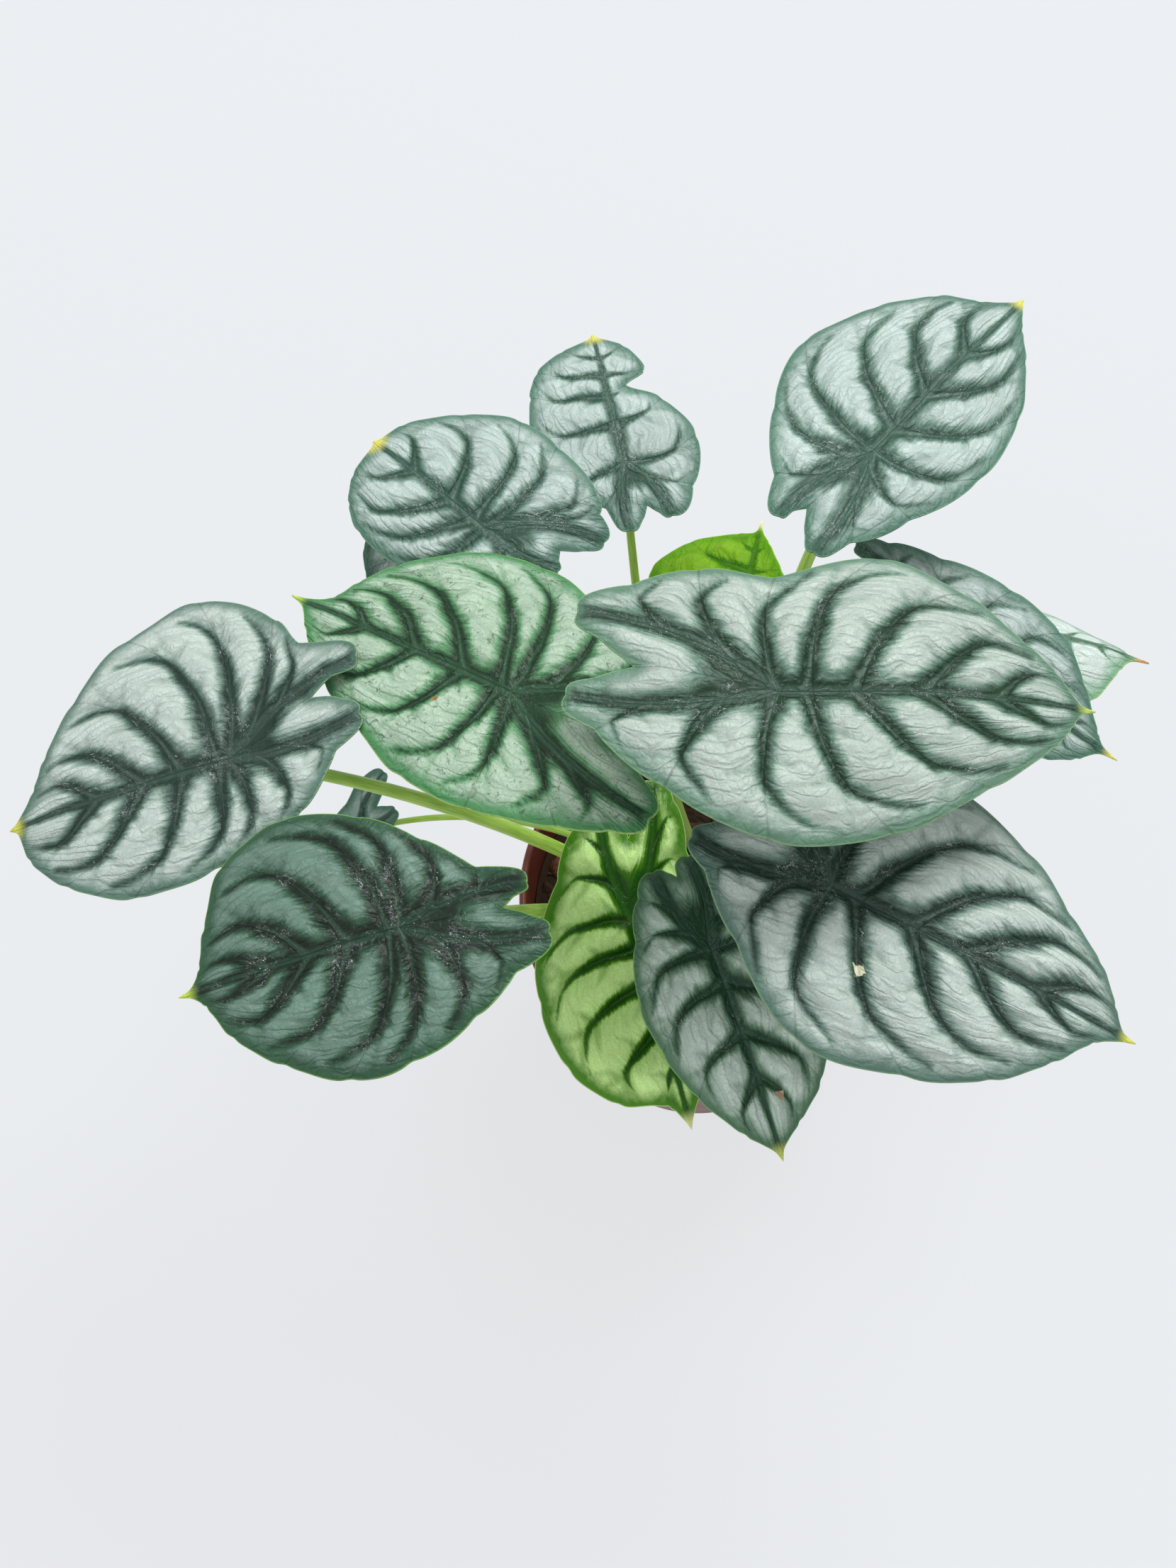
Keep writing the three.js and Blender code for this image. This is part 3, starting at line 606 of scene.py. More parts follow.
@dataclass(frozen=True)
class BarkAndPeat:
    """Moist composted bark and peat: dark and rough, with a tone that differs from chip to chip."""

    wet: str = "2b1d14"
    moist: str = "4a3222"
    dry: str = "6b4a33"

    def material(self) -> bpy.types.Material:
        """Builds the mix's material.

        Returns:
            The material.
        """
        return new_material("bark_and_peat_mix", [
            ("tone", "Attribute tone"),
            ("fibre", NOISE, ("place", None, per(1.6), 7.0, 0.7)),
            ("tone", TIMES_PLUS, ("fibre", 0.5, "tone")),
            ("colour", RAMP, ("tone",), ((0.2, self.wet), (0.75, self.moist), (1.0, self.dry))),
            ("bump", "Bump", (0.8, 0.5 * MM, None, "fibre")),
        ], {"Base Color": "colour", "Roughness": 0.9, "Normal": "bump"})


@dataclass(frozen=True)
class FiredClay:
    """Expanded clay ball, kiln fired: a dusty rust-brown crust with open, dark pores."""

    crust: str = "97644a"
    deep: str = "5e3523"
    dusty: str = "b98b70"
    pore: str = "3a2016"

    def material(self) -> bpy.types.Material:
        """Builds the clay balls' material.

        Returns:
            The material.
        """
        return new_material("fired_expanded_clay", [
            ("cloud", NOISE, ("place", None, per(2.5), 7.0, 0.7)),
            ("pit", DOTS, ("place", None, per(1.1))),
            ("pit", FADE, ("pit", 0.05, 0.3, 0.0, 1.0)),
            ("colour", RAMP, ("cloud",), ((0.3, self.deep), (0.6, self.crust), (0.8, self.dusty))),
            ("colour", MIX, {0: "pit", 6: linear(self.pore), 7: "colour"}),
            ("bump", "Bump", (0.7, 0.3 * MM, None, "pit")),
        ], {"Base Color": "colour", "Roughness": 0.88, "Normal": "bump"})


@dataclass(frozen=True)
class Stalk:
    """The petiole's route and radii in millimetres: its foot, two bending handles, and how wide
    it is at the hub and at the foot."""

    foot: tuple[float, float]
    bend: tuple[float, float, float]
    neck: tuple[float, float, float]
    top: float
    base: float


@dataclass(frozen=True)
class Leaf:
    """One leaf. Lengths are millimetres and angles degrees.

    The blade's own frame has its origin at the hub, u to the tip, v to the left and w out of the
    upper face. turn is heading, pitch and roll. bend is fold, arch, droop and back. A row of
    veins is its start on the midrib, or below zero on the lobes' ribs, then u and v of its left
    and right ends on the margin. inner and notch close the lobes.
    """

    name: str
    age: BladeAge
    hub: tuple[float, float, float]
    turn: tuple[float, float, float]
    length: float
    drip: float
    bend: tuple[float, float, float, float]
    puff: float
    veins: tuple
    inner: tuple
    notch: tuple[float, float]
    stalk: Stalk
    band: float = 2.6
    seed: int = 1
    scars: tuple = ()

    def growth(self) -> float:
        """How deep the blade's small forms are, as a share of those on a grown one."""
        return min(1.0, self.length / GROWN_LENGTH)

    def axes(self) -> np.ndarray:
        """Gives the blade's u, v and w directions as rows."""
        heading, pitch, roll = (math.radians(angle) for angle in self.turn)
        u = np.array([math.cos(heading) * math.cos(pitch), math.sin(heading) * math.cos(pitch),
                      math.sin(pitch)])
        side = np.array([-math.sin(heading), math.cos(heading), 0.0])
        v = side * math.cos(roll) + np.cross(u, side) * math.sin(roll)
        return np.array([u, v, np.cross(u, v)])

    def sheet(self, u: np.ndarray, v: np.ndarray) -> np.ndarray:
        """Height of the smooth sheet over the hub's plane."""
        fold, arch, droop, back = self.bend
        across = fold * np.abs(v) - arch * (v / 30.0) ** 2
        along = np.where(u > 0.0, droop * (u / self.length) ** 2, back * (u / 40.0) ** 2)
        return across - along


@dataclass
class Margin:
    """A smooth curve through the margin's points, the same as the part's own."""

    points: np.ndarray

    def at(self, steps: np.ndarray) -> np.ndarray:
        """Gives the curve's places.

        Args:
            steps: places along it, a whole number at each point.

        Returns:
            Rows of u and v.
        """
        points = self.points
        ends = (2.0 * points[:1] - points[1:2], points, 2.0 * points[-1:] - points[-2:-1])
        padded = np.concatenate(ends)
        first = np.clip(np.floor(steps).astype(int), 0, len(points) - 2)
        share = (steps - first)[:, None]
        p0, p1, p2, p3 = (padded[first + i] for i in range(4))
        gap = [np.maximum(np.linalg.norm(b - a, axis=1), 1e-6)[:, None] ** 0.5
               for a, b in ((p0, p1), (p1, p2), (p2, p3))]
        leave = (p1 - p0) / gap[0] - (p2 - p0) / (gap[0] + gap[1]) + (p2 - p1) / gap[1]
        reach = (p2 - p1) / gap[1] - (p3 - p1) / (gap[1] + gap[2]) + (p3 - p2) / gap[2]
        leave = leave * gap[1]
        reach = reach * gap[1]
        square = -3.0 * p1 + 3.0 * p2 - 2.0 * leave - reach
        cube = 2.0 * p1 - 2.0 * p2 + leave + reach
        return p1 + share * (leave + share * (square + share * cube))


@dataclass
class HalfBlade:
    """One side of a blade. A place counts the main veins from the tip, and t runs from the midrib
    at 0 to the margin at 1."""

    leaf: Leaf
    side: int
    drip_neck: float = 3.0
    drip_half_width: float = 1.3
    vein_bow: float = 0.14
    rib_bow: float = 0.07
    nick: float = 0.45
    nick_width: float = 0.11
    arching: float = 0.55
    joining: float = 2.4
    branch_gap: float = 6.5
    branch_run: float = 4.5
    blunt: float = 0.14

    def __post_init__(self) -> None:
        """Works out the margin and where each vein starts."""
        leaf = self.leaf
        half = self.drip_half_width
        neck = (leaf.length - self.drip_neck, leaf.length, half, leaf.length, -half)
        rows = [neck, *leaf.veins]
        column = 1 if self.side > 0 else 3
        outline = [(leaf.length + leaf.drip, 0.0)]
        outline += [(row[column], row[column + 1]) for row in rows]
        outline += [leaf.inner[0 if self.side > 0 else 1], leaf.notch]
        self.margin = Margin(np.array(outline, dtype=float))
        self.last = len(rows)
        self.lobe = self.margin.points[self.last]
        self.lobe_length = float(np.hypot(*self.lobe))
        self.starts = [leaf.length + leaf.drip] + [row[0] for row in rows]
        self.starts[-1] = -self.lobe_length

    def axis(self, distance: np.ndarray) -> np.ndarray:
        """Places on the midrib, or below zero on the lobe's rib."""
        share = np.clip(-distance / self.lobe_length, 0.0, 1.0)
        bow = self.side * self.rib_bow * 4.0 * share * (1.0 - share)
        rib = np.stack([share * self.lobe[0] + bow * self.lobe[1],
                        share * self.lobe[1] - bow * self.lobe[0]], -1)
        midrib = np.stack([distance, np.zeros_like(distance)], -1)
        return np.where(distance[..., None] >= 0.0, midrib, rib)

    def start(self, place: np.ndarray) -> np.ndarray:
        """Distance along the midrib or the lobe's rib at which a place starts."""
        return np.interp(place, np.arange(len(self.starts)), self.starts)

    def rim(self, place: np.ndarray) -> np.ndarray:
        """Places on the margin, with the lobe's end made blunt between the part's own points."""
        points = self.margin.at(place)
        before = np.clip(place - (self.last - 1), 0.0, 1.0)
        after = np.clip(place - self.last, 0.0, 1.0)
        swell = (before * before * (1.0 - before), after * (1.0 - after) * (1.0 - after))
        for share, first in zip(swell, (self.last - 1, self.last)):
            chord = self.margin.points[first + 1] - self.margin.points[first]
            outwards = self.side * np.array([chord[1], -chord[0]])
            points = points + self.blunt * 6.75 * share[:, None] * outwards
        return points

    def lay(self, place: np.ndarray, t: np.ndarray) -> tuple[np.ndarray, np.ndarray]:
        """Gives points of the blade.

        Args:
            place: places, as long as t or one row for each.
            t: shares from the midrib to the margin.

        Returns:
            u and v of each point, and the span from midrib to margin there.
        """
        place, t = np.broadcast_arrays(place, t)
        axis = self.axis(self.start(place))
        end = self.rim(place.ravel()).reshape(*place.shape, 2)
        chord = end - axis
        span = np.hypot(chord[..., 0], chord[..., 1])
        dent = np.exp(-((place - np.round(place)) / self.nick_width) ** 2) * (np.round(place) > 1.5)
        dent = self.nick * self.leaf.growth() * (dent - 0.3 * np.sin(7.0 * place))
        dent = dent * smoothstep(1.0, 2.0, place) * smoothstep(self.last, self.last - 0.5, place)
        chord = chord * (1.0 - dent / np.maximum(span, 4.0))[..., None]
        forward = np.clip(0.6 + chord[..., 0] / (span + 1.0), 0.0, 1.0)
        bow = self.side * self.vein_bow * forward * 4.0 * t * (1.0 - t)
        u = axis[..., 0] + chord[..., 0] * t - chord[..., 1] * bow
        v = axis[..., 1] + chord[..., 1] * t + chord[..., 0] * bow
        return np.stack([u, v], -1), span

    def main_vein(self, place: int) -> np.ndarray:
        """A main vein, which bends towards the hub where it joins the midrib and towards the
        tip near the margin."""
        t = np.linspace(0.0, 0.9, 26)
        line, span = self.lay(place - self.arching * smoothstep(0.62, 1.0, t), t)
        start = self.start(np.full_like(t, place))
        pull = self.joining * np.exp(-t * span / 3.4) * smoothstep(1.0, 6.0, np.abs(start))
        line = line + self.axis(start - np.sign(start) * pull) - self.axis(start)
        wander = 0.3 * ripple(line[:, 0], line[:, 1], 12.0, self.leaf.seed + 3) * smoothstep(0.0, 0.2, t)
        across = np.gradient(line, axis=0)
        across /= np.maximum(np.linalg.norm(across, axis=1), 1e-6)[:, None]
        return line + wander[:, None] * np.column_stack([-across[:, 1], across[:, 0]])

    def side_veins(self, draw: np.random.Generator) -> list[np.ndarray]:
        """Thin veins that branch off the main ones and fork to the margin.

        Args:
            draw: the blade's random numbers.

        Returns:
            Their lines, each from its main vein outwards.
        """
        lines = []
        s = np.linspace(0.0, 1.0, 9)
        for place in range(1, self.last):
            _, span = self.lay(np.array([place + 0.5]), np.array([1.0]))
            count = max(1, int(span[0] / self.branch_gap))
            for i in range(count):
                t0 = (i + 0.35 + 0.4 * draw.uniform()) / count * 0.86
                rise = min(0.97, t0 + self.branch_run / span[0]) - t0
                share = draw.uniform(0.42, 0.62) * s ** 0.85
                if (i + place) % 2:
                    share = 1.0 - share
                lines.append(self.lay(place + share, t0 + rise * s ** 1.5)[0])
            for turn in (0, 1):
                t0 = draw.uniform(0.56, 0.7)
                share = draw.uniform(0.3, 0.42) * s ** 1.15
                lines.append(self.lay(place + (1.0 - share if turn else share), t0 + (0.97 - t0) * s)[0])
        return lines


@dataclass
class BladeBuilder:
    """Builds one blade as a closed thin sheet with puffed panels, sunk veins and ribs below.
    Depths and rises are millimetres."""

    leaf: Leaf
    lines: int = 16
    steps: int = 50
    inner_steps: int = 18
    thickness: float = 0.8
    rib_depth: float = 1.1
    vein_depth: float = 0.35
    puffing: float = 2.1
    sunk_half_width: float = 3.6
    crease_depth: float = 0.6
    tooth_pitch: float = 3.3
    tooth_rise: float = 0.15
    rib_rise: float = 0.34
    vein_rise: float = 0.2
    sway: float = 0.4
    edge_wave: float = 0.6
    edge_fall: float = 0.35
    right_panels: float = 20.0
    inner_panel: float = 45.0
    patches: list = field(default_factory=list)
    veins: list = field(default_factory=list)
    ribs: list = field(default_factory=list)
    minors: list = field(default_factory=list)
    edges: list = field(default_factory=list)

    def spread(self, count: int) -> np.ndarray:
        """Shares from 0 to 1, closer together at both ends."""
        even = np.linspace(0.0, 1.0, count)
        return 0.45 * even + 0.55 * 0.5 * (1.0 - np.cos(math.pi * even))

    def add_patch(self, grid: np.ndarray, turn: int, span: np.ndarray, **known: np.ndarray) -> None:
        """Keeps a grid of points.

        Args:
            grid: its rows and columns of u and v.
            turn: 1 or -1, which way its faces run.
            span: distance from the midrib to the margin at each point.
            known: what else is known of the points.
        """
        known = {"span": span, "along": span * known["t"], **known}
        shape = grid.shape[:2]
        self.patches.append((grid, turn, {name: np.broadcast_to(a, shape) for name, a in known.items()}))

    def lay_out(self, side: int) -> None:
        """Lays out one side of the blade as two grids of points, and its veins.

        Args:
            side: 1 for the left side and -1 for the right.
        """
        leaf = self.leaf
        half = HalfBlade(leaf, side)
        places = [row + self.spread(self.lines + 1)[:-1] for row in range(half.last)]
        places = np.concatenate([*places, [float(half.last)]])
        t = self.spread(self.steps)
        grid, span = half.lay(places[:, None], t[None, :])
        panel = np.minimum(np.floor(places), half.last - 1)[:, None] + self.right_panels * (side < 0)
        self.add_patch(grid, side, span, t=t, panel=panel, fork=np.zeros(1))
        self.veins += [half.main_vein(place) for place in range(2, half.last)]
        self.minors += half.side_veins(np.random.default_rng(leaf.seed * 7 + side))
        self.edges.append(grid[:, -1])
        start = half.start(places)
        self.ribs.append(half.axis(start)[::3])

        # Between the rib and the line from the hub to the notch, then on to the inner margin.
        rib = half.axis(start[start <= 0.0])
        run = np.linspace(0.0, 2.0, len(rib))
        centre = np.array(leaf.notch) * np.minimum(run, 1.0)[:, None]
        inner_margin = half.rim(half.last + 2.0 - 2.0 * (np.maximum(run, 1.0) - 1.0))
        inner = np.where(run[:, None] <= 1.0, centre, inner_margin)
        t = self.spread(self.inner_steps)
        grid = rib[:, None, :] + (inner - rib)[:, None, :] * t[None, :, None]
        fork = smoothstep(1.05, 0.5, run)[:, None] * smoothstep(0.0, 0.3, t)
        self.add_patch(grid, -side, np.hypot(*(inner - rib).T)[:, None], t=t,
                       panel=np.array(self.inner_panel + side), fork=fork)
        self.edges.append(inner_margin[run >= 1.0])

    def measure(self, flat: np.ndarray, data: dict) -> None:
        """Adds each point's distances to the veins and the margin.

        Args:
            flat: u and v of each point.
            data: what is known of each point, which grows.
        """
        leaf = self.leaf
        u, v = flat[:, 0], flat[:, 1]
        data["vein"] = distance_to(flat, self.veins, fade=1.2)
        data["rib"] = distance_to(flat, self.ribs)
        data["minor"] = distance_to(flat, self.minors, fade=1.3)
        data["edge"] = distance_to(flat, self.edges)
        data["tip"] = np.hypot(leaf.length + leaf.drip - u, v)
        vein = data["vein"] / (leaf.band * (1.0 - 0.62 * data["t"]) * np.clip(data["span"] / 24.0, 0.35, 1.0))
        rib = data["rib"] / (leaf.band * np.clip(1.15 - np.abs(u) / leaf.length, 0.3, 1.0))
        joined = np.exp(-3.0 * vein) + np.exp(-3.0 * rib / 1.02)
        data["band"] = -np.log(joined + 1e-9) / 3.0 * (1.0 - 0.6 * data["fork"])
        strip = np.minimum(vein / 0.3, rib / 0.55)
        data["strip"] = np.minimum(strip, 2.0 - 1.05 * data["fork"])
        data["scar"] = np.full_like(u, 9.0)
        for place_u, place_v, radius in leaf.scars:
            uneven = 1.0 + 0.35 * ripple(u, v, 2.2, leaf.seed)
            data["scar"] = np.minimum(data["scar"], np.hypot(u - place_u, v - place_v) * uneven / radius)

    def relief(self, u: np.ndarray, v: np.ndarray, data: dict) -> np.ndarray:
        """Raised panels, sunk veins and creases on top of the smooth sheet.

        Args:
            u: place along the blade.
            v: place across it.
            data: what is known of each point.

        Returns:
            Heights in millimetres.
        """
        leaf = self.leaf
        growth = leaf.growth()
        nearest = np.minimum(data["vein"], data["rib"] * 0.9)
        pillow = 1.0 - np.exp(-((nearest / self.sunk_half_width) ** 1.4))
        room = np.minimum(1.0, data["span"] / 15.0) * smoothstep(-0.5, 7.5, data["edge"])
        rise = self.puffing * leaf.puff * FINISHES[leaf.age].swell
        lift = rise * pillow * room * (1.0 - 0.25 * data["t"])
        crease = bell(data["minor"], 1.0) + 0.5 * bell(data["minor"], 2.8)
        deep = self.crease_depth * min(1.4, leaf.puff)
        lift -= deep * crease * smoothstep(0.5, 2.5, nearest) * room
        teeth = np.sin(FULL_TURN * data["along"] / self.tooth_pitch + 1.6 * ripple(u, v, 9.0, leaf.seed + 20))
        beside = smoothstep(1.2, 2.6, nearest) * smoothstep(6.5, 3.0, nearest)
        lift += self.tooth_rise * leaf.puff * teeth * beside * room
        lift += self.rib_rise * bell(data["rib"], 1.1) + self.vein_rise * bell(data["vein"], 0.55)
        lift += self.sway * ripple(u, v, 38.0, leaf.seed) * growth
        wave = self.edge_wave * ripple(u, v, 22.0, leaf.seed + 50)
        lift += wave * smoothstep(10.0, 0.0, data["edge"]) * growth
        return lift - self.edge_fall * np.exp(-data["edge"] / 0.7)

    def build(self) -> bpy.types.Object:
        """Builds the blade's mesh in its place.

        Returns:
            The blade's object.
        """
        leaf = self.leaf
        for side in (1, -1):
            self.lay_out(side)
        flat = np.concatenate([grid.reshape(-1, 2) for grid, _, _ in self.patches])
        keys = np.round(flat * 1000.0).astype(np.int64)
        _, first, number = np.unique(keys, axis=0, return_index=True, return_inverse=True)
        flat = flat[first]
        data = {name: np.concatenate([known[name].ravel() for _, _, known in self.patches])[first]
                for name in ("t", "along", "span", "panel", "fork")}
        self.measure(flat, data)
        u, v = flat[:, 0], flat[:, 1]
        top = leaf.sheet(u, v) + self.relief(u, v, data)
        ridge = self.rib_depth * bell(data["rib"], 1.2) * np.clip(1.2 - np.abs(u) / leaf.length, 0.25, 1.0)
        veins = self.vein_depth * bell(data["vein"], 0.7) * (1.0 - 0.6 * data["t"])
        rim = smoothstep(0.0, 1.2, data["edge"])
        bottom = top - (0.5 + 0.5 * rim) * self.thickness - np.maximum(ridge, veins)
        mesh = self.close(flat, top, bottom, self.faces(number.ravel()), data)
        mesh.transform(self.placement())
        return new_object(mesh.name, mesh, [FINISHES[leaf.age].material()])

    def faces(self, number: np.ndarray) -> list:
        """Joins the grids' points to faces with no repeated point."""
        faces = []
        offset = 0
        for grid, turn, _ in self.patches:
            rows, columns = grid.shape[:2]
            index = number[offset:offset + rows * columns].reshape(rows, columns)
            offset += rows * columns
            corners = np.stack([index[:-1, :-1], index[:-1, 1:], index[1:, 1:], index[1:, :-1]], 2)
            for corner in corners[:, :, ::turn].reshape(-1, 4).tolist():
                face = list(dict.fromkeys(corner))
                if len(face) > 2:
                    faces.append(face)
        return faces

    def close(self, flat: np.ndarray, top: np.ndarray, bottom: np.ndarray, faces: list,
              data: dict) -> bpy.types.Mesh:
        """Joins the upper and lower faces round the margin.

        Args:
            flat: u and v of each point.
            top: its height on the upper face.
            bottom: its height on the lower face.
            faces: the upper face's polygons.
            data: values to store for the finish.

        Returns:
            The closed mesh.
        """
        count = len(flat)
        points = np.concatenate([np.column_stack([flat, height]) for height in (top, bottom)]) * MM
        edges = {}
        for face in faces:
            for start, stop in zip(face, face[1:] + face[:1]):
                if edges.pop((stop, start), None) is None:
                    edges[(start, stop)] = True
        lower = [[corner + count for corner in reversed(face)] for face in faces]
        rim = [[stop, start, start + count, stop + count] for start, stop in edges]
        return mesh_from(f"leaf_blade_{self.leaf.name}", points, faces + lower + rim,
                         {name: np.tile(data[name], 2) for name in STORED})

    def placement(self) -> Matrix:
        """Turns the blade's own frame into the part's."""
        return Matrix.Translation(Vector(self.leaf.hub) * MM) @ Matrix(self.leaf.axes().T.tolist()).to_4x4()


@dataclass
class StalkBuilder:
    """Builds one petiole as a smooth tapering stalk, grooved along its upper side, that flares
    into the blade's hub."""

    leaf: Leaf
    finish: bpy.types.Material
    foot_height: float = 76.0
    sides: int = 28
    steps: int = 90
    hub_depth: float = 1.2
    groove: float = 0.09
    flare: float = 0.14
    flare_length: float = 3.5

    def build(self) -> bpy.types.Object:
        """Builds the petiole's mesh.

        Returns:
            The petiole's object.
        """
        leaf = self.leaf
        stalk = leaf.stalk
        w = leaf.axes()[2]
        top = np.array(leaf.hub) - w * self.hub_depth
        handles = [np.array([*stalk.foot, self.foot_height]), np.array(stalk.bend),
                   np.array(stalk.neck), top]
        t = np.linspace(0.0, 1.0, self.steps + 1)[:, None]
        weights = ((1.0 - t) ** 3, 3.0 * t * (1.0 - t) ** 2, 3.0 * t * t * (1.0 - t), t ** 3)
        centre = sum(weight * handle for weight, handle in zip(weights, handles))
        length = np.concatenate([[0.0], np.cumsum(np.linalg.norm(np.diff(centre, axis=0), axis=1))])
        share = length / length[-1]
        tangent = np.gradient(centre, axis=0)
        tangent /= np.linalg.norm(tangent, axis=1)[:, None]
        normal = np.cross(tangent[0], np.array([0.0, 1.0, 0.01]))
        angle = np.linspace(0.0, FULL_TURN, self.sides, endpoint=False)
        groove = 1.0 - self.groove * bell(np.mod(angle + math.pi, FULL_TURN) - math.pi, 0.5)
        radius = stalk.base + (stalk.top - stalk.base) * share
        radius *= 1.0 + self.flare * bell((1.0 - share) * length[-1], self.flare_length)
        radius *= 1.0 + 0.02 * np.sin(9.0 * share + leaf.seed)
        points = []
        for i in range(self.steps + 1):
            normal = normal - tangent[i] * normal.dot(tangent[i])
            normal /= np.linalg.norm(normal)
            binormal = np.cross(tangent[i], normal)
            points.append(centre[i] + radius[i] * groove[:, None] * (
                np.cos(angle)[:, None] * normal + np.sin(angle)[:, None] * binormal))
        # The last ring lies flat against the blade.
        points[-1] += tangent[-1] * ((top - points[-1]) @ w / tangent[-1].dot(w))[:, None]
        points = np.concatenate([*points, centre[:1], top[None]])
        around = np.abs(np.mod(angle / FULL_TURN + 0.5, 1.0) - 0.5) * 2.0
        mesh = mesh_from(f"leaf_stalk_{leaf.name}", points * MM, ring_faces(self.steps + 1, self.sides), {
            "height": [*np.repeat(share, self.sides), 0.0, 1.0],
            "around": [*np.tile(around, self.steps + 1), 0.0, 0.0],
        })
        return new_object(mesh.name, mesh, [self.finish])


@dataclass
class Plant:
    """All the leaves, with one finish for every stalk."""

    leaves: list[Leaf]
    small: float = 30.0

    def build(self) -> None:
        """Builds each leaf's blade and stalk."""
        stalk_finish = StalkFinish().material()
        for leaf in self.leaves:
            sizes = {"lines": 10, "steps": 30} if leaf.length < self.small else {}
            slot = "young_blade" if leaf.age in YOUNG_AGES else "silver_blade"
            settle(BladeBuilder(leaf, **sizes).build(), slot, f"blade_{leaf.name}")
            settle(StalkBuilder(leaf, stalk_finish).build(), "petiole", f"petiole_{leaf.name}")


@dataclass
class NurseryPot:
    """A tapered nursery pot with a banded rim and drain holes. Sizes are millimetres."""

    height: float = 105.0
    foot_radius: float = 45.0
    foot_round: float = 1.4
    rim_radius: float = 60.0
    shoulder_radius: float = 57.4
    shoulder_height: float = 90.0
    band_radius: float = 58.8
    band_foot: float = 91.2
    wall: float = 1.5
    lip: float = 2.4
    floor: float = 2.0
    drains: int = 6
    drain_radius: float = 4.5
    drain_ring: float = 29.0
    sides: int = 192

    def inner_radius(self, height: float) -> float:
        """Radius of the inner wall at a height."""
        taper = (self.shoulder_radius - self.foot_radius) / self.shoulder_height
        return self.foot_radius + taper * height - self.wall

    def profile(self) -> list[tuple[float, float]]:
        """The pot's section from the middle of its underside round to the middle of its floor."""
        shoulder, turn, half = self.shoulder_height, self.foot_round, 0.5 * self.lip
        points = [(0.0, 0.0), (self.foot_radius - turn, 0.0)]
        for i in range(1, 6):
            angle = math.pi / 10.0 * i
            points.append((self.foot_radius - turn + turn * math.sin(angle), turn - turn * math.cos(angle)))
        points += [(self.foot_radius + 0.30, 4.0), (self.shoulder_radius - 0.1, shoulder - 0.8),
                   (self.shoulder_radius, shoulder), (self.band_radius - 0.25, self.band_foot - 0.2),
                   (self.band_radius, self.band_foot + 0.3), (self.rim_radius - 0.25, self.height - 3.6)]
        for i in range(13):
            angle = math.pi * i / 12.0
            points.append((self.rim_radius - half + half * math.cos(angle),
                           self.height - half + half * math.sin(angle)))
        return points + [(self.inner_radius(shoulder) + 0.5, self.band_foot + 0.3),
                         (self.inner_radius(shoulder), shoulder - 0.3),
                         (self.inner_radius(self.floor), self.floor + 0.4),
                         (self.inner_radius(self.floor) - 0.6, self.floor), (0.0, self.floor)]

    def build(self) -> None:
        """Builds the pot with its drain holes cut."""
        profile = self.profile()
        rings = [ring(radius, height, self.sides) for radius, height in profile[1:-1]]
        middles = np.array([[0.0, 0.0, profile[0][1]], [0.0, 0.0, profile[-1][1]]])
        mesh = mesh_from("nursery_pot", np.concatenate([*rings, middles]) * MM,
                         ring_faces(len(rings), self.sides))
        pot = new_object("nursery_pot", mesh, [MouldedPolypropylene().material()])
        cutters = []
        for i in range(self.drains):
            angle = FULL_TURN * (i + 0.5) / self.drains
            bm = bmesh.new()
            bmesh.ops.create_cone(bm, cap_ends=True, segments=40, radius1=self.drain_radius * MM,
                                  radius2=self.drain_radius * MM, depth=8.0 * MM)
            cutter = new_object(f"drain_{i}", mesh_of("drain", bm), [])
            cutter.location = (self.drain_ring * MM * math.cos(angle),
                               self.drain_ring * MM * math.sin(angle), 1.0 * MM)
            pot.modifiers.new(cutter.name, "BOOLEAN").object = cutter
            cutters.append(cutter)
        bpy.context.view_layer.update()
        shape = bpy.data.meshes.new_from_object(pot.evaluated_get(bpy.context.evaluated_depsgraph_get()))
        pot.modifiers.clear()
        pot.data = shape
        for cutter in cutters:
            bpy.data.objects.remove(cutter)
        sharpen(pot, 40.0)
        settle(pot, "pot", "pot")


def sharpen(piece: bpy.types.Object, angle: float) -> None:
    """Shades a piece smooth, with edges over an angle in degrees kept sharp."""
    bm = bmesh.new()
    bm.from_mesh(piece.data)
    for face in bm.faces:
        face.smooth = True
    for edge in bm.edges:
        if len(edge.link_faces) == 2:
            edge.smooth = edge.calc_face_angle(0.0) < math.radians(angle)
    bm.to_mesh(piece.data)
    bm.free()


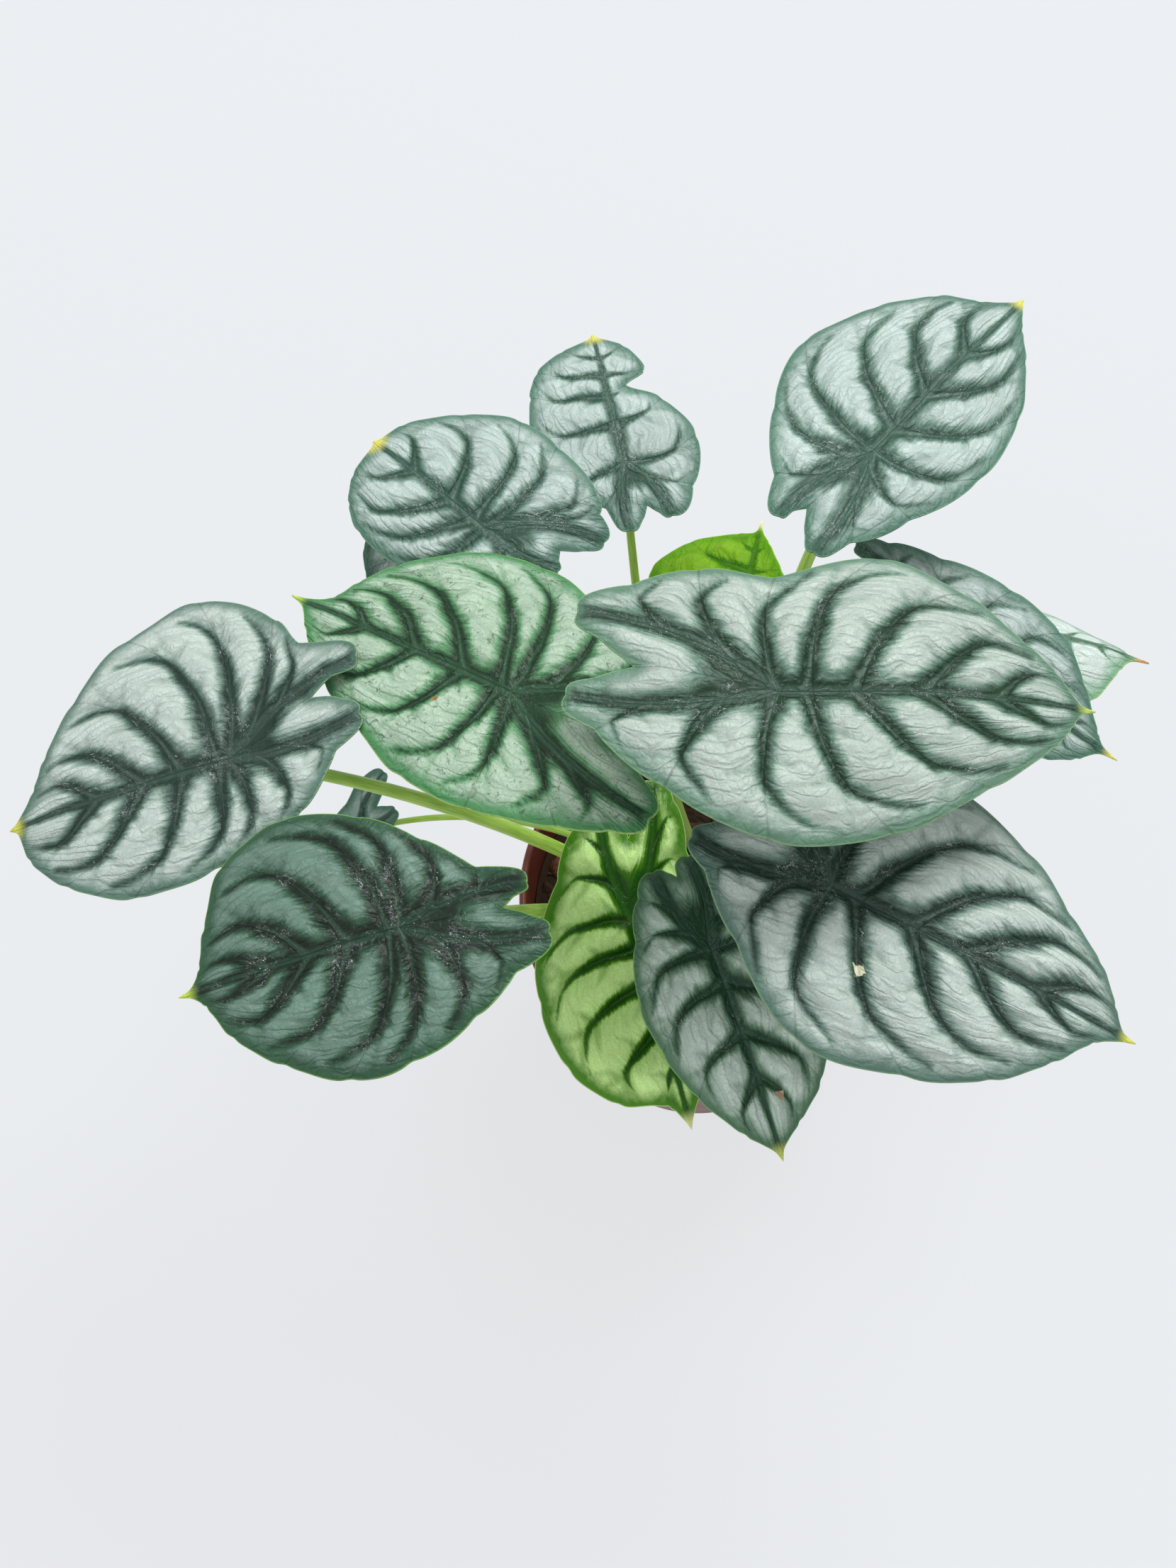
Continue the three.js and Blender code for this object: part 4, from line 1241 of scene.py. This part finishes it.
@dataclass
class PottingMix:
    """The bark and peat that fill the pot, with loose chips on top. Sizes are millimetres."""

    pot: NurseryPot
    level: float = 88.0
    lump: float = 1.3
    gap: float = 0.3
    rings: int = 44
    sides: int = 120
    chips: int = 430
    chip_margin: float = 3.4
    plug_tone: float = 0.18
    seed: int = 11

    def height(self, x: np.ndarray, y: np.ndarray) -> np.ndarray:
        """Height of the mix's lumpy top."""
        broad = np.sin(0.11 * x + 0.4) * np.cos(0.13 * y - 0.7)
        fine = np.sin(0.37 * x - 0.2 * y) * np.cos(0.31 * y + 0.17 * x)
        return self.level + self.lump * (0.6 * broad + 0.5 * fine)

    def build(self) -> None:
        """Builds the plug of mix and its chips as one piece."""
        foot = self.pot.floor + self.gap
        rim = self.pot.inner_radius(self.level) - self.gap
        rings = []
        for share in np.linspace(1.0 / self.rings, 1.0, self.rings):
            x, y, _ = ring(share * rim, 0.0, self.sides).T
            crumb = 0.35 * ripple(x, y, 3.2, 5) + 0.25 * ripple(x, y, 1.9, 6)
            edge = 1.0 - smoothstep(0.93, 1.0, np.full_like(x, share))
            z = self.level + (self.height(x, y) + crumb - self.level) * edge
            rings.append(np.column_stack([x, y, z]))
        rings.append(ring(self.pot.inner_radius(foot) - self.gap, foot, self.sides))
        middles = np.array([[0.0, 0.0, float(self.height(np.zeros(1), np.zeros(1))[0])], [0.0, 0.0, foot]])
        points = [np.concatenate([*rings, middles])]
        faces = ring_faces(len(rings), self.sides, over=True)
        tone = [np.full(len(points[0]), self.plug_tone)]
        self.add_chips(points, faces, tone, rim - self.chip_margin)
        mesh = mesh_from("potting_mix", np.concatenate(points) * MM, faces, {"tone": np.concatenate(tone)})
        mix = new_object("bark_potting_mix", mesh, [BarkAndPeat().material()], smooth=False)
        settle(mix, "potting_mix", "potting_mix")

    def add_chips(self, points: list, faces: list, tone: list, reach: float) -> None:
        """Scatters angular chips of bark over the mix.

        Args:
            points: lists of points, which grow.
            faces: faces, which grow.
            tone: lists of tones, which grow.
            reach: how far out a chip may lie.
        """
        draw = np.random.default_rng(self.seed)
        bm = bmesh.new()
        bmesh.ops.create_icosphere(bm, subdivisions=1, radius=1.0)
        ball = np.array([vert.co[:] for vert in bm.verts])
        ball_faces = np.array([[vert.index for vert in face.verts] for face in bm.faces])
        bm.free()
        offset = len(points[0])
        for _ in range(self.chips):
            size = draw.uniform(0.8, 3.2) * np.array([1.0, draw.uniform(0.4, 0.9), draw.uniform(0.2, 0.45)])
            out = reach * math.sqrt(draw.uniform())
            bearing = draw.uniform(0.0, FULL_TURN)
            x, y = out * math.cos(bearing), out * math.sin(bearing)
            z = float(self.height(np.array([x]), np.array([y]))[0]) + size[2] * draw.uniform(0.0, 0.7)
            turn = Matrix.Rotation(draw.uniform(0.0, FULL_TURN), 3, "Z")
            for axis in "XY":
                turn = turn @ Matrix.Rotation(draw.uniform(-0.5, 0.5), 3, axis)
            chip = (ball + draw.normal(0.0, 0.13, ball.shape)) * size
            points.append(chip @ np.array(turn).T + (x, y, z))
            faces += (ball_faces + offset).tolist()
            tone.append(np.full(len(ball), draw.uniform(0.0, 0.75)))
            offset += len(ball)


@dataclass
class ClayBalls:
    """Fired clay balls, half sunk in the mix where the part has them."""

    detail: int = 4
    roughness: float = 0.035

    def build(self) -> None:
        """Builds a pitted ball in the place of each of the part's clay pebbles."""
        finish = FiredClay().material()
        names = sorted(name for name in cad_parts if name.startswith("clay_pebble"))
        for number, name in enumerate(names):
            low, high = (Vector(corner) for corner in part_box(name))
            centre, half = (low + high) / 2.0, (high - low) / 2.0
            bm = bmesh.new()
            bmesh.ops.create_icosphere(bm, subdivisions=self.detail, radius=1.0)
            for vert in bm.verts:
                x, y, z = (np.array([4.0 * c]) for c in vert.co)
                bulge = ripple(x + z, y - z, 5.0, number)[0] + 0.4 * ripple(x - y, z, 1.7, number + 30)[0]
                vert.co *= 1.0 - self.roughness + self.roughness * bulge
                vert.co = vert.co * half + centre
            mesh = mesh_of(f"clay_ball_{number + 1:02d}", bm)
            settle(new_object(mesh.name, mesh, [finish]), "fired_clay", name)


@dataclass(frozen=True)
class PaleFloor:
    """Matt pale board under the plant. Its glow stands for the light that a white room throws
    back on it from all round, so the plant's shadow stays faint."""

    colour: str = "5a5e62"
    glow: str = "ebecee"
    glow_strength: float = 0.84

    def material(self) -> bpy.types.Material:
        """Builds the floor's plain matt material.

        Returns:
            The material.
        """
        return new_material("pale_board", [], {
            "Base Color": linear(self.colour), "Emission Color": linear(self.glow),
            "Emission Strength": self.glow_strength, "Roughness": 0.9, "Specular IOR Level": 0.0,
        })


@dataclass
class Studio:
    """A plain pale floor, soft light, and a camera that looks steeply down on the plant. Sizes are
    metres. A light is its name, its place, the length of its side and its power in watts."""

    camera_place: tuple[float, float, float] = (-0.0384, -0.2237, 0.7513)
    camera_pitch: float = 22.0
    lens: float = 50.0
    sensor: float = 36.0
    floor_size: float = 6.0
    sky: str = "f2f4f6"
    sky_strength: float = 0.82
    aim: tuple[float, float, float] = (0.0, 0.0, 0.2)
    lights: tuple = (("window", (0.7, 1.3, 2.3), 1.1, 52.0), ("fill", (-1.2, -0.5, 1.4), 1.6, 3.0))

    def build(self) -> None:
        """Adds the floor, the lights, the sky and the camera."""
        scene = bpy.context.scene
        scene.view_settings.view_transform = "Standard"
        half = self.floor_size / 2.0
        corners = np.array([(-half, -half, 0.0), (half, -half, 0.0), (half, half, 0.0), (-half, half, 0.0)])
        floor = new_object("floor", mesh_from("floor", corners, [[0, 1, 2, 3]]), [PaleFloor().material()])
        world = bpy.data.worlds.new("soft_daylight")
        world.use_nodes = True
        background = world.node_tree.nodes["Background"]
        background.inputs["Color"].default_value = linear(self.sky)
        background.inputs["Strength"].default_value = self.sky_strength
        scene.world = world
        for name, place, size, power in self.lights:
            light = bpy.data.lights.new(name, "AREA")
            light.size = size
            light.energy = power
            turn = (Vector(self.aim) - Vector(place)).to_track_quat("-Z", "Y").to_euler()
            self.hang(name, light, place, turn)
        camera = bpy.data.cameras.new("camera")
        camera.lens = self.lens
        camera.sensor_width = self.sensor
        camera.clip_start = 0.01
        turn = (math.radians(self.camera_pitch), 0.0, 0.0)
        scene.camera = self.hang("camera", camera, self.camera_place, turn)

    def hang(self, name: str, data: bpy.types.ID, place: tuple, turn: tuple) -> bpy.types.Object:
        """Puts a light or a camera in the scene.

        Args:
            name: what it is called.
            data: the light or the camera.
            place: where it is.
            turn: its turns about X, Y and Z.

        Returns:
            Its object.
        """
        holder = bpy.data.objects.new(name, data)
        holder.location = place
        holder.rotation_euler = turn
        bpy.context.scene.collection.objects.link(holder)
        return holder


LEAVES = [
    Leaf("crown", BladeAge.SILVER, (6, -12, 285), (4, -3, 0), 78, 4, (0.12, 6, 18, 2), 1.5, (
        (57, 72.5, 8.5, 74.5, -5.5), (37.5, 65.5, 16, 68, -12), (20, 50.5, 28.5, 50, -23.5),
        (8.5, 30.5, 39, 24.5, -35), (0, 3, 32.5, -5.5, -35.5), (-15, -15.5, 35.5, -29, -22),
        (-32, -31.5, 32.5, -44, -7), (-50, -45, 25, -49.5, 3),
    ), ((-40, 16), (-41.5, 7)), (-33, 9),
        Stalk((4, -5), (3, -3, 150), (3, -3, 262), 1.8, 2.5), band=2.8, seed=1),
    Leaf("mid_left", BladeAge.GREEN, (-58, 4.5, 248), (146.5, -15, 4), 71.5, 4.5, (0.1, 5, 4, 2), 1.3, (
        (51, 63.5, 8.5, 65, -5), (33, 48.5, 19.5, 61, -11.5), (17, 32, 26.5, 55, -21),
        (4.5, 12.5, 33, 39.5, -36), (0, -8.5, 32.5, 21, -41), (-11, -32.5, 26, -4, -35),
        (-22, -45, 21, -23, -28.5), (-47, -51, 13, -39.5, -15.5),
    ), ((-41, 3), (-37.5, -6)), (-31, -0.5),
        Stalk((-12.5, 3), (-14, 12, 150), (-45, 12, 225), 1.8, 2.4), band=2.7, seed=2,
        scars=((15.5, 11.5, 1.0),)),
    Leaf("far_left", BladeAge.ASH, (-131, -7, 232), (-168, -11, 0), 62, 2, (0.1, 4, 6, -4), 1.2, (
        (39, 59, 10.5, 55.5, -8.5), (25.5, 49.5, 21, 51, -16), (14.5, 31, 29.5, 41.5, -30.5),
        (4.5, 9, 28.5, 24.5, -45), (0, -4, 25, 3, -50.5), (-9.5, -16.5, 20.5, -17.5, -37.5),
        (-19.5, -29, 7, -23.5, -27.5), (-39, -36.5, -1.5, -38.5, -17),
    ), ((-31.5, -7.5), (-30, -13.5)), (-24.5, -10),
        Stalk((-18.5, 1), (-22, 6, 120), (-95, -0.5, 208), 1.7, 2.4), band=2.8, seed=3),
    Leaf("front_left", BladeAge.DARK, (-84.5, -57.5, 246), (-166.5, -9, 0), 55, 3.5, (0.1, 4, 5, 2), 1.3, (
        (36, 52, 4.5, 52, -5.5), (25, 46.5, 14.5, 49, -15), (14.5, 35, 25, 41.5, -30),
        (3.5, 20, 33, 24, -37.5), (0, 4, 33.5, 5, -32.5), (-10.5, -13.5, 27, -9.5, -22),
        (-21, -25.5, 19, -21.5, -11), (-35, -35.5, 11, -33, -3),
    ), ((-31.5, 5), (-28.5, -0.5)), (-26, 1.5),
        Stalk((-14.5, -3.5), (-22, -8, 125), (-72, -42, 215), 1.7, 2.3), band=3.0, seed=4),
    Leaf("front_right", BladeAge.ASH, (21, -47.5, 248), (-24, -8, 0), 81.5, 4, (0.1, 5, 8, 2), 2.2, (
        (59, 77.5, 6, 75.5, -5), (39, 70, 14.5, 67.5, -14.5), (23.5, 58, 23, 54.5, -26),
        (8.5, 42.5, 33, 34.5, -34.5), (0, 18, 41.5, 6.5, -38), (-11, -6, 35.5, -16, -23),
        (-23, -23, 27.5, -30, -10), (-36, -29.5, 20.5, -36, -3),
    ), ((-30, 15), (-32.5, 3)), (-22.5, 9.5),
        Stalk((8.5, -11.5), (9, -14, 150), (17, -38, 222), 1.8, 2.4), band=2.65, seed=5,
        scars=((14, -16.5, 1.5),)),
    Leaf("front_dark", BladeAge.DUSKY, (-6.5, -53, 214), (-70, -14, 0), 54, 3, (0.1, 5, 5, 2), 1.8, (
        (36, 49, 7.5, 47.5, -7.5), (24, 41, 16, 34.5, -16), (10.5, 29, 22.5, 20.5, -21),
        (0, 10, 23.5, 6.5, -22.5), (-7.5, -6.5, 18.5, -8.5, -18.5), (-15, -18.5, 11, -19, -14),
        (-25, -25, 2.5, -24, -7.5),
    ), ((-24.5, -1), (-22.5, -3.5)), (-21, -2),
        Stalk((2.5, -15), (4, -22, 140), (9, -48, 190), 1.5, 2.1), band=2.3, seed=6,
        scars=((40.5, 4.5, 1.1),)),
    Leaf("front_young", BladeAge.YOUNG, (-26.5, -35.5, 185), (-73, -12, 0), 55.5, 3, (0.1, 5, 5, 0), 1, (
        (43, 50, 5, 51, -4.5), (31, 41.5, 11.5, 46.5, -17.5), (19, 29.5, 16, 33.5, -28),
        (9.5, 16.5, 18.5, 14.5, -30.5), (0, 2, 19.5, 0, -27), (-12, -15, 21, -16.5, -17),
        (-22, -29, 21.5, -29, -9), (-39, -36, 16.5, -38, 2),
    ), ((-30, 10), (-31.5, 5.5)), (-22.5, 6),
        Stalk((-1, -9), (-5, -13, 130), (-20, -32, 165), 1.4, 2), band=1.7, seed=7),
    Leaf("back_right", BladeAge.SOFT, (35, 66.5, 262), (50.5, -6, 0), 70.5, 2.5, (0.08, 4, 5, 2), 1.3, (
        (45, 64, 8.5, 63, -6), (25.5, 55.5, 18, 54, -13), (10.5, 41, 28, 36.5, -22.5),
        (0, 19.5, 36, 12.5, -26), (-7, -4, 29, -10.5, -20), (-15.5, -22.5, 15.5, -26.5, -12.5),
        (-33, -31, 6.5, -34, -6.5),
    ), ((-27.5, 4.5), (-31, -1.5)), (-25, 2.5),
        Stalk((7.5, 9.5), (6, 22, 130), (13, 54, 230), 1.6, 2.3), band=2.5, seed=8),
    Leaf("back_bitten", BladeAge.SOFT, (-28, 101, 198), (100.5, -4, 0), 49, 1.5, (0.06, 3, 4, 2), 0.9, (
        (41.5, 45, 10.5, 43.5, -8.5), (34, 38, 19.5, 32, -12.5), (26, 29, 23, 28, -6.5),
        (15, 13, 24.5, 21, -16), (0, -7, 20, 5, -23), (-7.5, -14.5, 8.5, -11, -19),
        (-22, -22.5, 2.5, -20, -10.5),
    ), ((-19.5, -2), (-18, -6.5)), (-15.5, -4),
        Stalk((2.5, 14.5), (-20, 32, 120), (-25, 92, 165), 1.2, 1.7), band=1.9, seed=9),
    Leaf("back_left", BladeAge.SOFT, (-67, 66, 222), (136, 0, -6), 45, 1, (0.08, 4, 8, 3), 1.1, (
        (30, 42.5, 11.5, 42.5, -9), (14.5, 36, 19, 31.5, -22), (5.5, 27, 23.5, 17, -31.5),
        (0, 11, 23.5, 3, -32.5), (-9, -5.5, 18, -16, -29), (-14.5, -16.5, 7, -20.5, -25.5),
        (-29, -23.5, -5, -26.5, -20),
    ), ((-21.5, -7.5), (-24, -13.5)), (-20, -9.5),
        Stalk((-7.5, 6.5), (-14, 14, 145), (-55, 56, 200), 1.5, 2), band=2.3, seed=10),
    Leaf("right", BladeAge.SOFT, (55, 28.5, 224), (-29, -8, 8), 52, 5.5, (0.1, 4, 6, 2), 1.2, (
        (40, 49.5, 3.5, 47.5, -6), (28.5, 39.5, 13, 39, -11.5), (15, 27.5, 22, 24.5, -18),
        (6, 10, 25.5, 8.5, -21), (0, -11, 23.5, -8.5, -19), (-10.5, -25.5, 20, -20, -12),
        (-33, -32.5, 14.5, -30.5, -3),
    ), ((-25, 11.5), (-28.5, 1.5)), (-19, 4.5),
        Stalk((13, 7), (18, 8, 140), (44, 24, 205), 1.5, 2.1), band=2.3, seed=11),
    Leaf("right_small", BladeAge.PALE, (84, 61.5, 172), (-8, -6, -22), 40.5, 6, (-0.35, 3, 4, 2), 0.8, (
        (32, 39, 4.5, 37.5, -5), (21, 31, 9, 29.5, -16), (10, 16, 18, 16, -23), (0, -1, 22, 1, -24),
        (-8, -12, 18, -12.5, -18), (-22, -19, 10.5, -19, -11.5),
    ), ((-17, 4), (-16, -7)), (-11, -1.5),
        Stalk((13.5, 13), (22, 19, 118), (72, 52, 152), 1.1, 1.6), band=1.5, seed=12),
    Leaf("back_young", BladeAge.FRESH, (7.5, 65, 162), (80, -4, -12), 37, 5.5, (0.2, 3, 4, 2), 0.9, (
        (31, 35.5, 6.5, 32.5, -4), (22.5, 30.5, 20.5, 20.5, -10), (11.5, 18, 30.5, 8, -16),
        (0, 2, 27, -4.5, -19), (-10, -13, 21, -17.5, -16), (-24, -22, 9.5, -22, -9.5),
    ), ((-20, 5), (-19.5, -5)), (-13, 1),
        Stalk((8, 16.5), (8, 26, 118), (7, 54, 146), 1.1, 1.5), band=2.0, seed=13),
    Leaf("low_small", BladeAge.SOFT, (-110, 15.5, 120), (-127, -8, 0), 22.5, 1.5, (0.1, 3, 3, 1), 0.5, (
        (11, 16.5, 5, 16, -5), (4.5, 8.5, 9, 6.5, -8.5), (0, 0.5, 10, -5, -8.5),
        (-8.5, -8.5, 8.5, -14, -9.8), (-15, -12.5, 5.5, -20, -5),
    ), ((-11.5, 2), (-16.5, -2)), (-10, 0),
        Stalk((-18.5, 6), (-25, 12, 140), (-80, 32, 106), 0.9, 1.3), band=0.9, seed=14),
    Leaf("back_left_small", BladeAge.SOFT, (-89.5, 73.5, 198), (-106.5, -8, 0), 21.5, 1.5, (0.1, 3, 3, 1),
         0.5, (
        (13, 15, 4.5, 17, -6), (5.5, 7.5, 9, 11, -10), (0, 0, 9, 4.5, -12.5),
        (-5.5, -7.5, 5, -2.5, -12), (-12, -12.5, -1, -10, -7.5),
    ), ((-10, -2), (-8.5, -5.5)), (-6.5, -2.5),
        Stalk((-13, 9.5), (-20, 16, 125), (-76, 64, 176), 1.0, 1.4), band=1.2, seed=15),
]


def main() -> None:
    """Builds the studio and every piece of the potted plant."""
    logging.basicConfig(level=logging.INFO, format="%(name)s: %(message)s")
    Studio().build()
    pot = NurseryPot()
    pot.build()
    PottingMix(pot).build()
    ClayBalls().build()
    Plant(LEAVES).build()


if __name__ == "__main__":
    main()
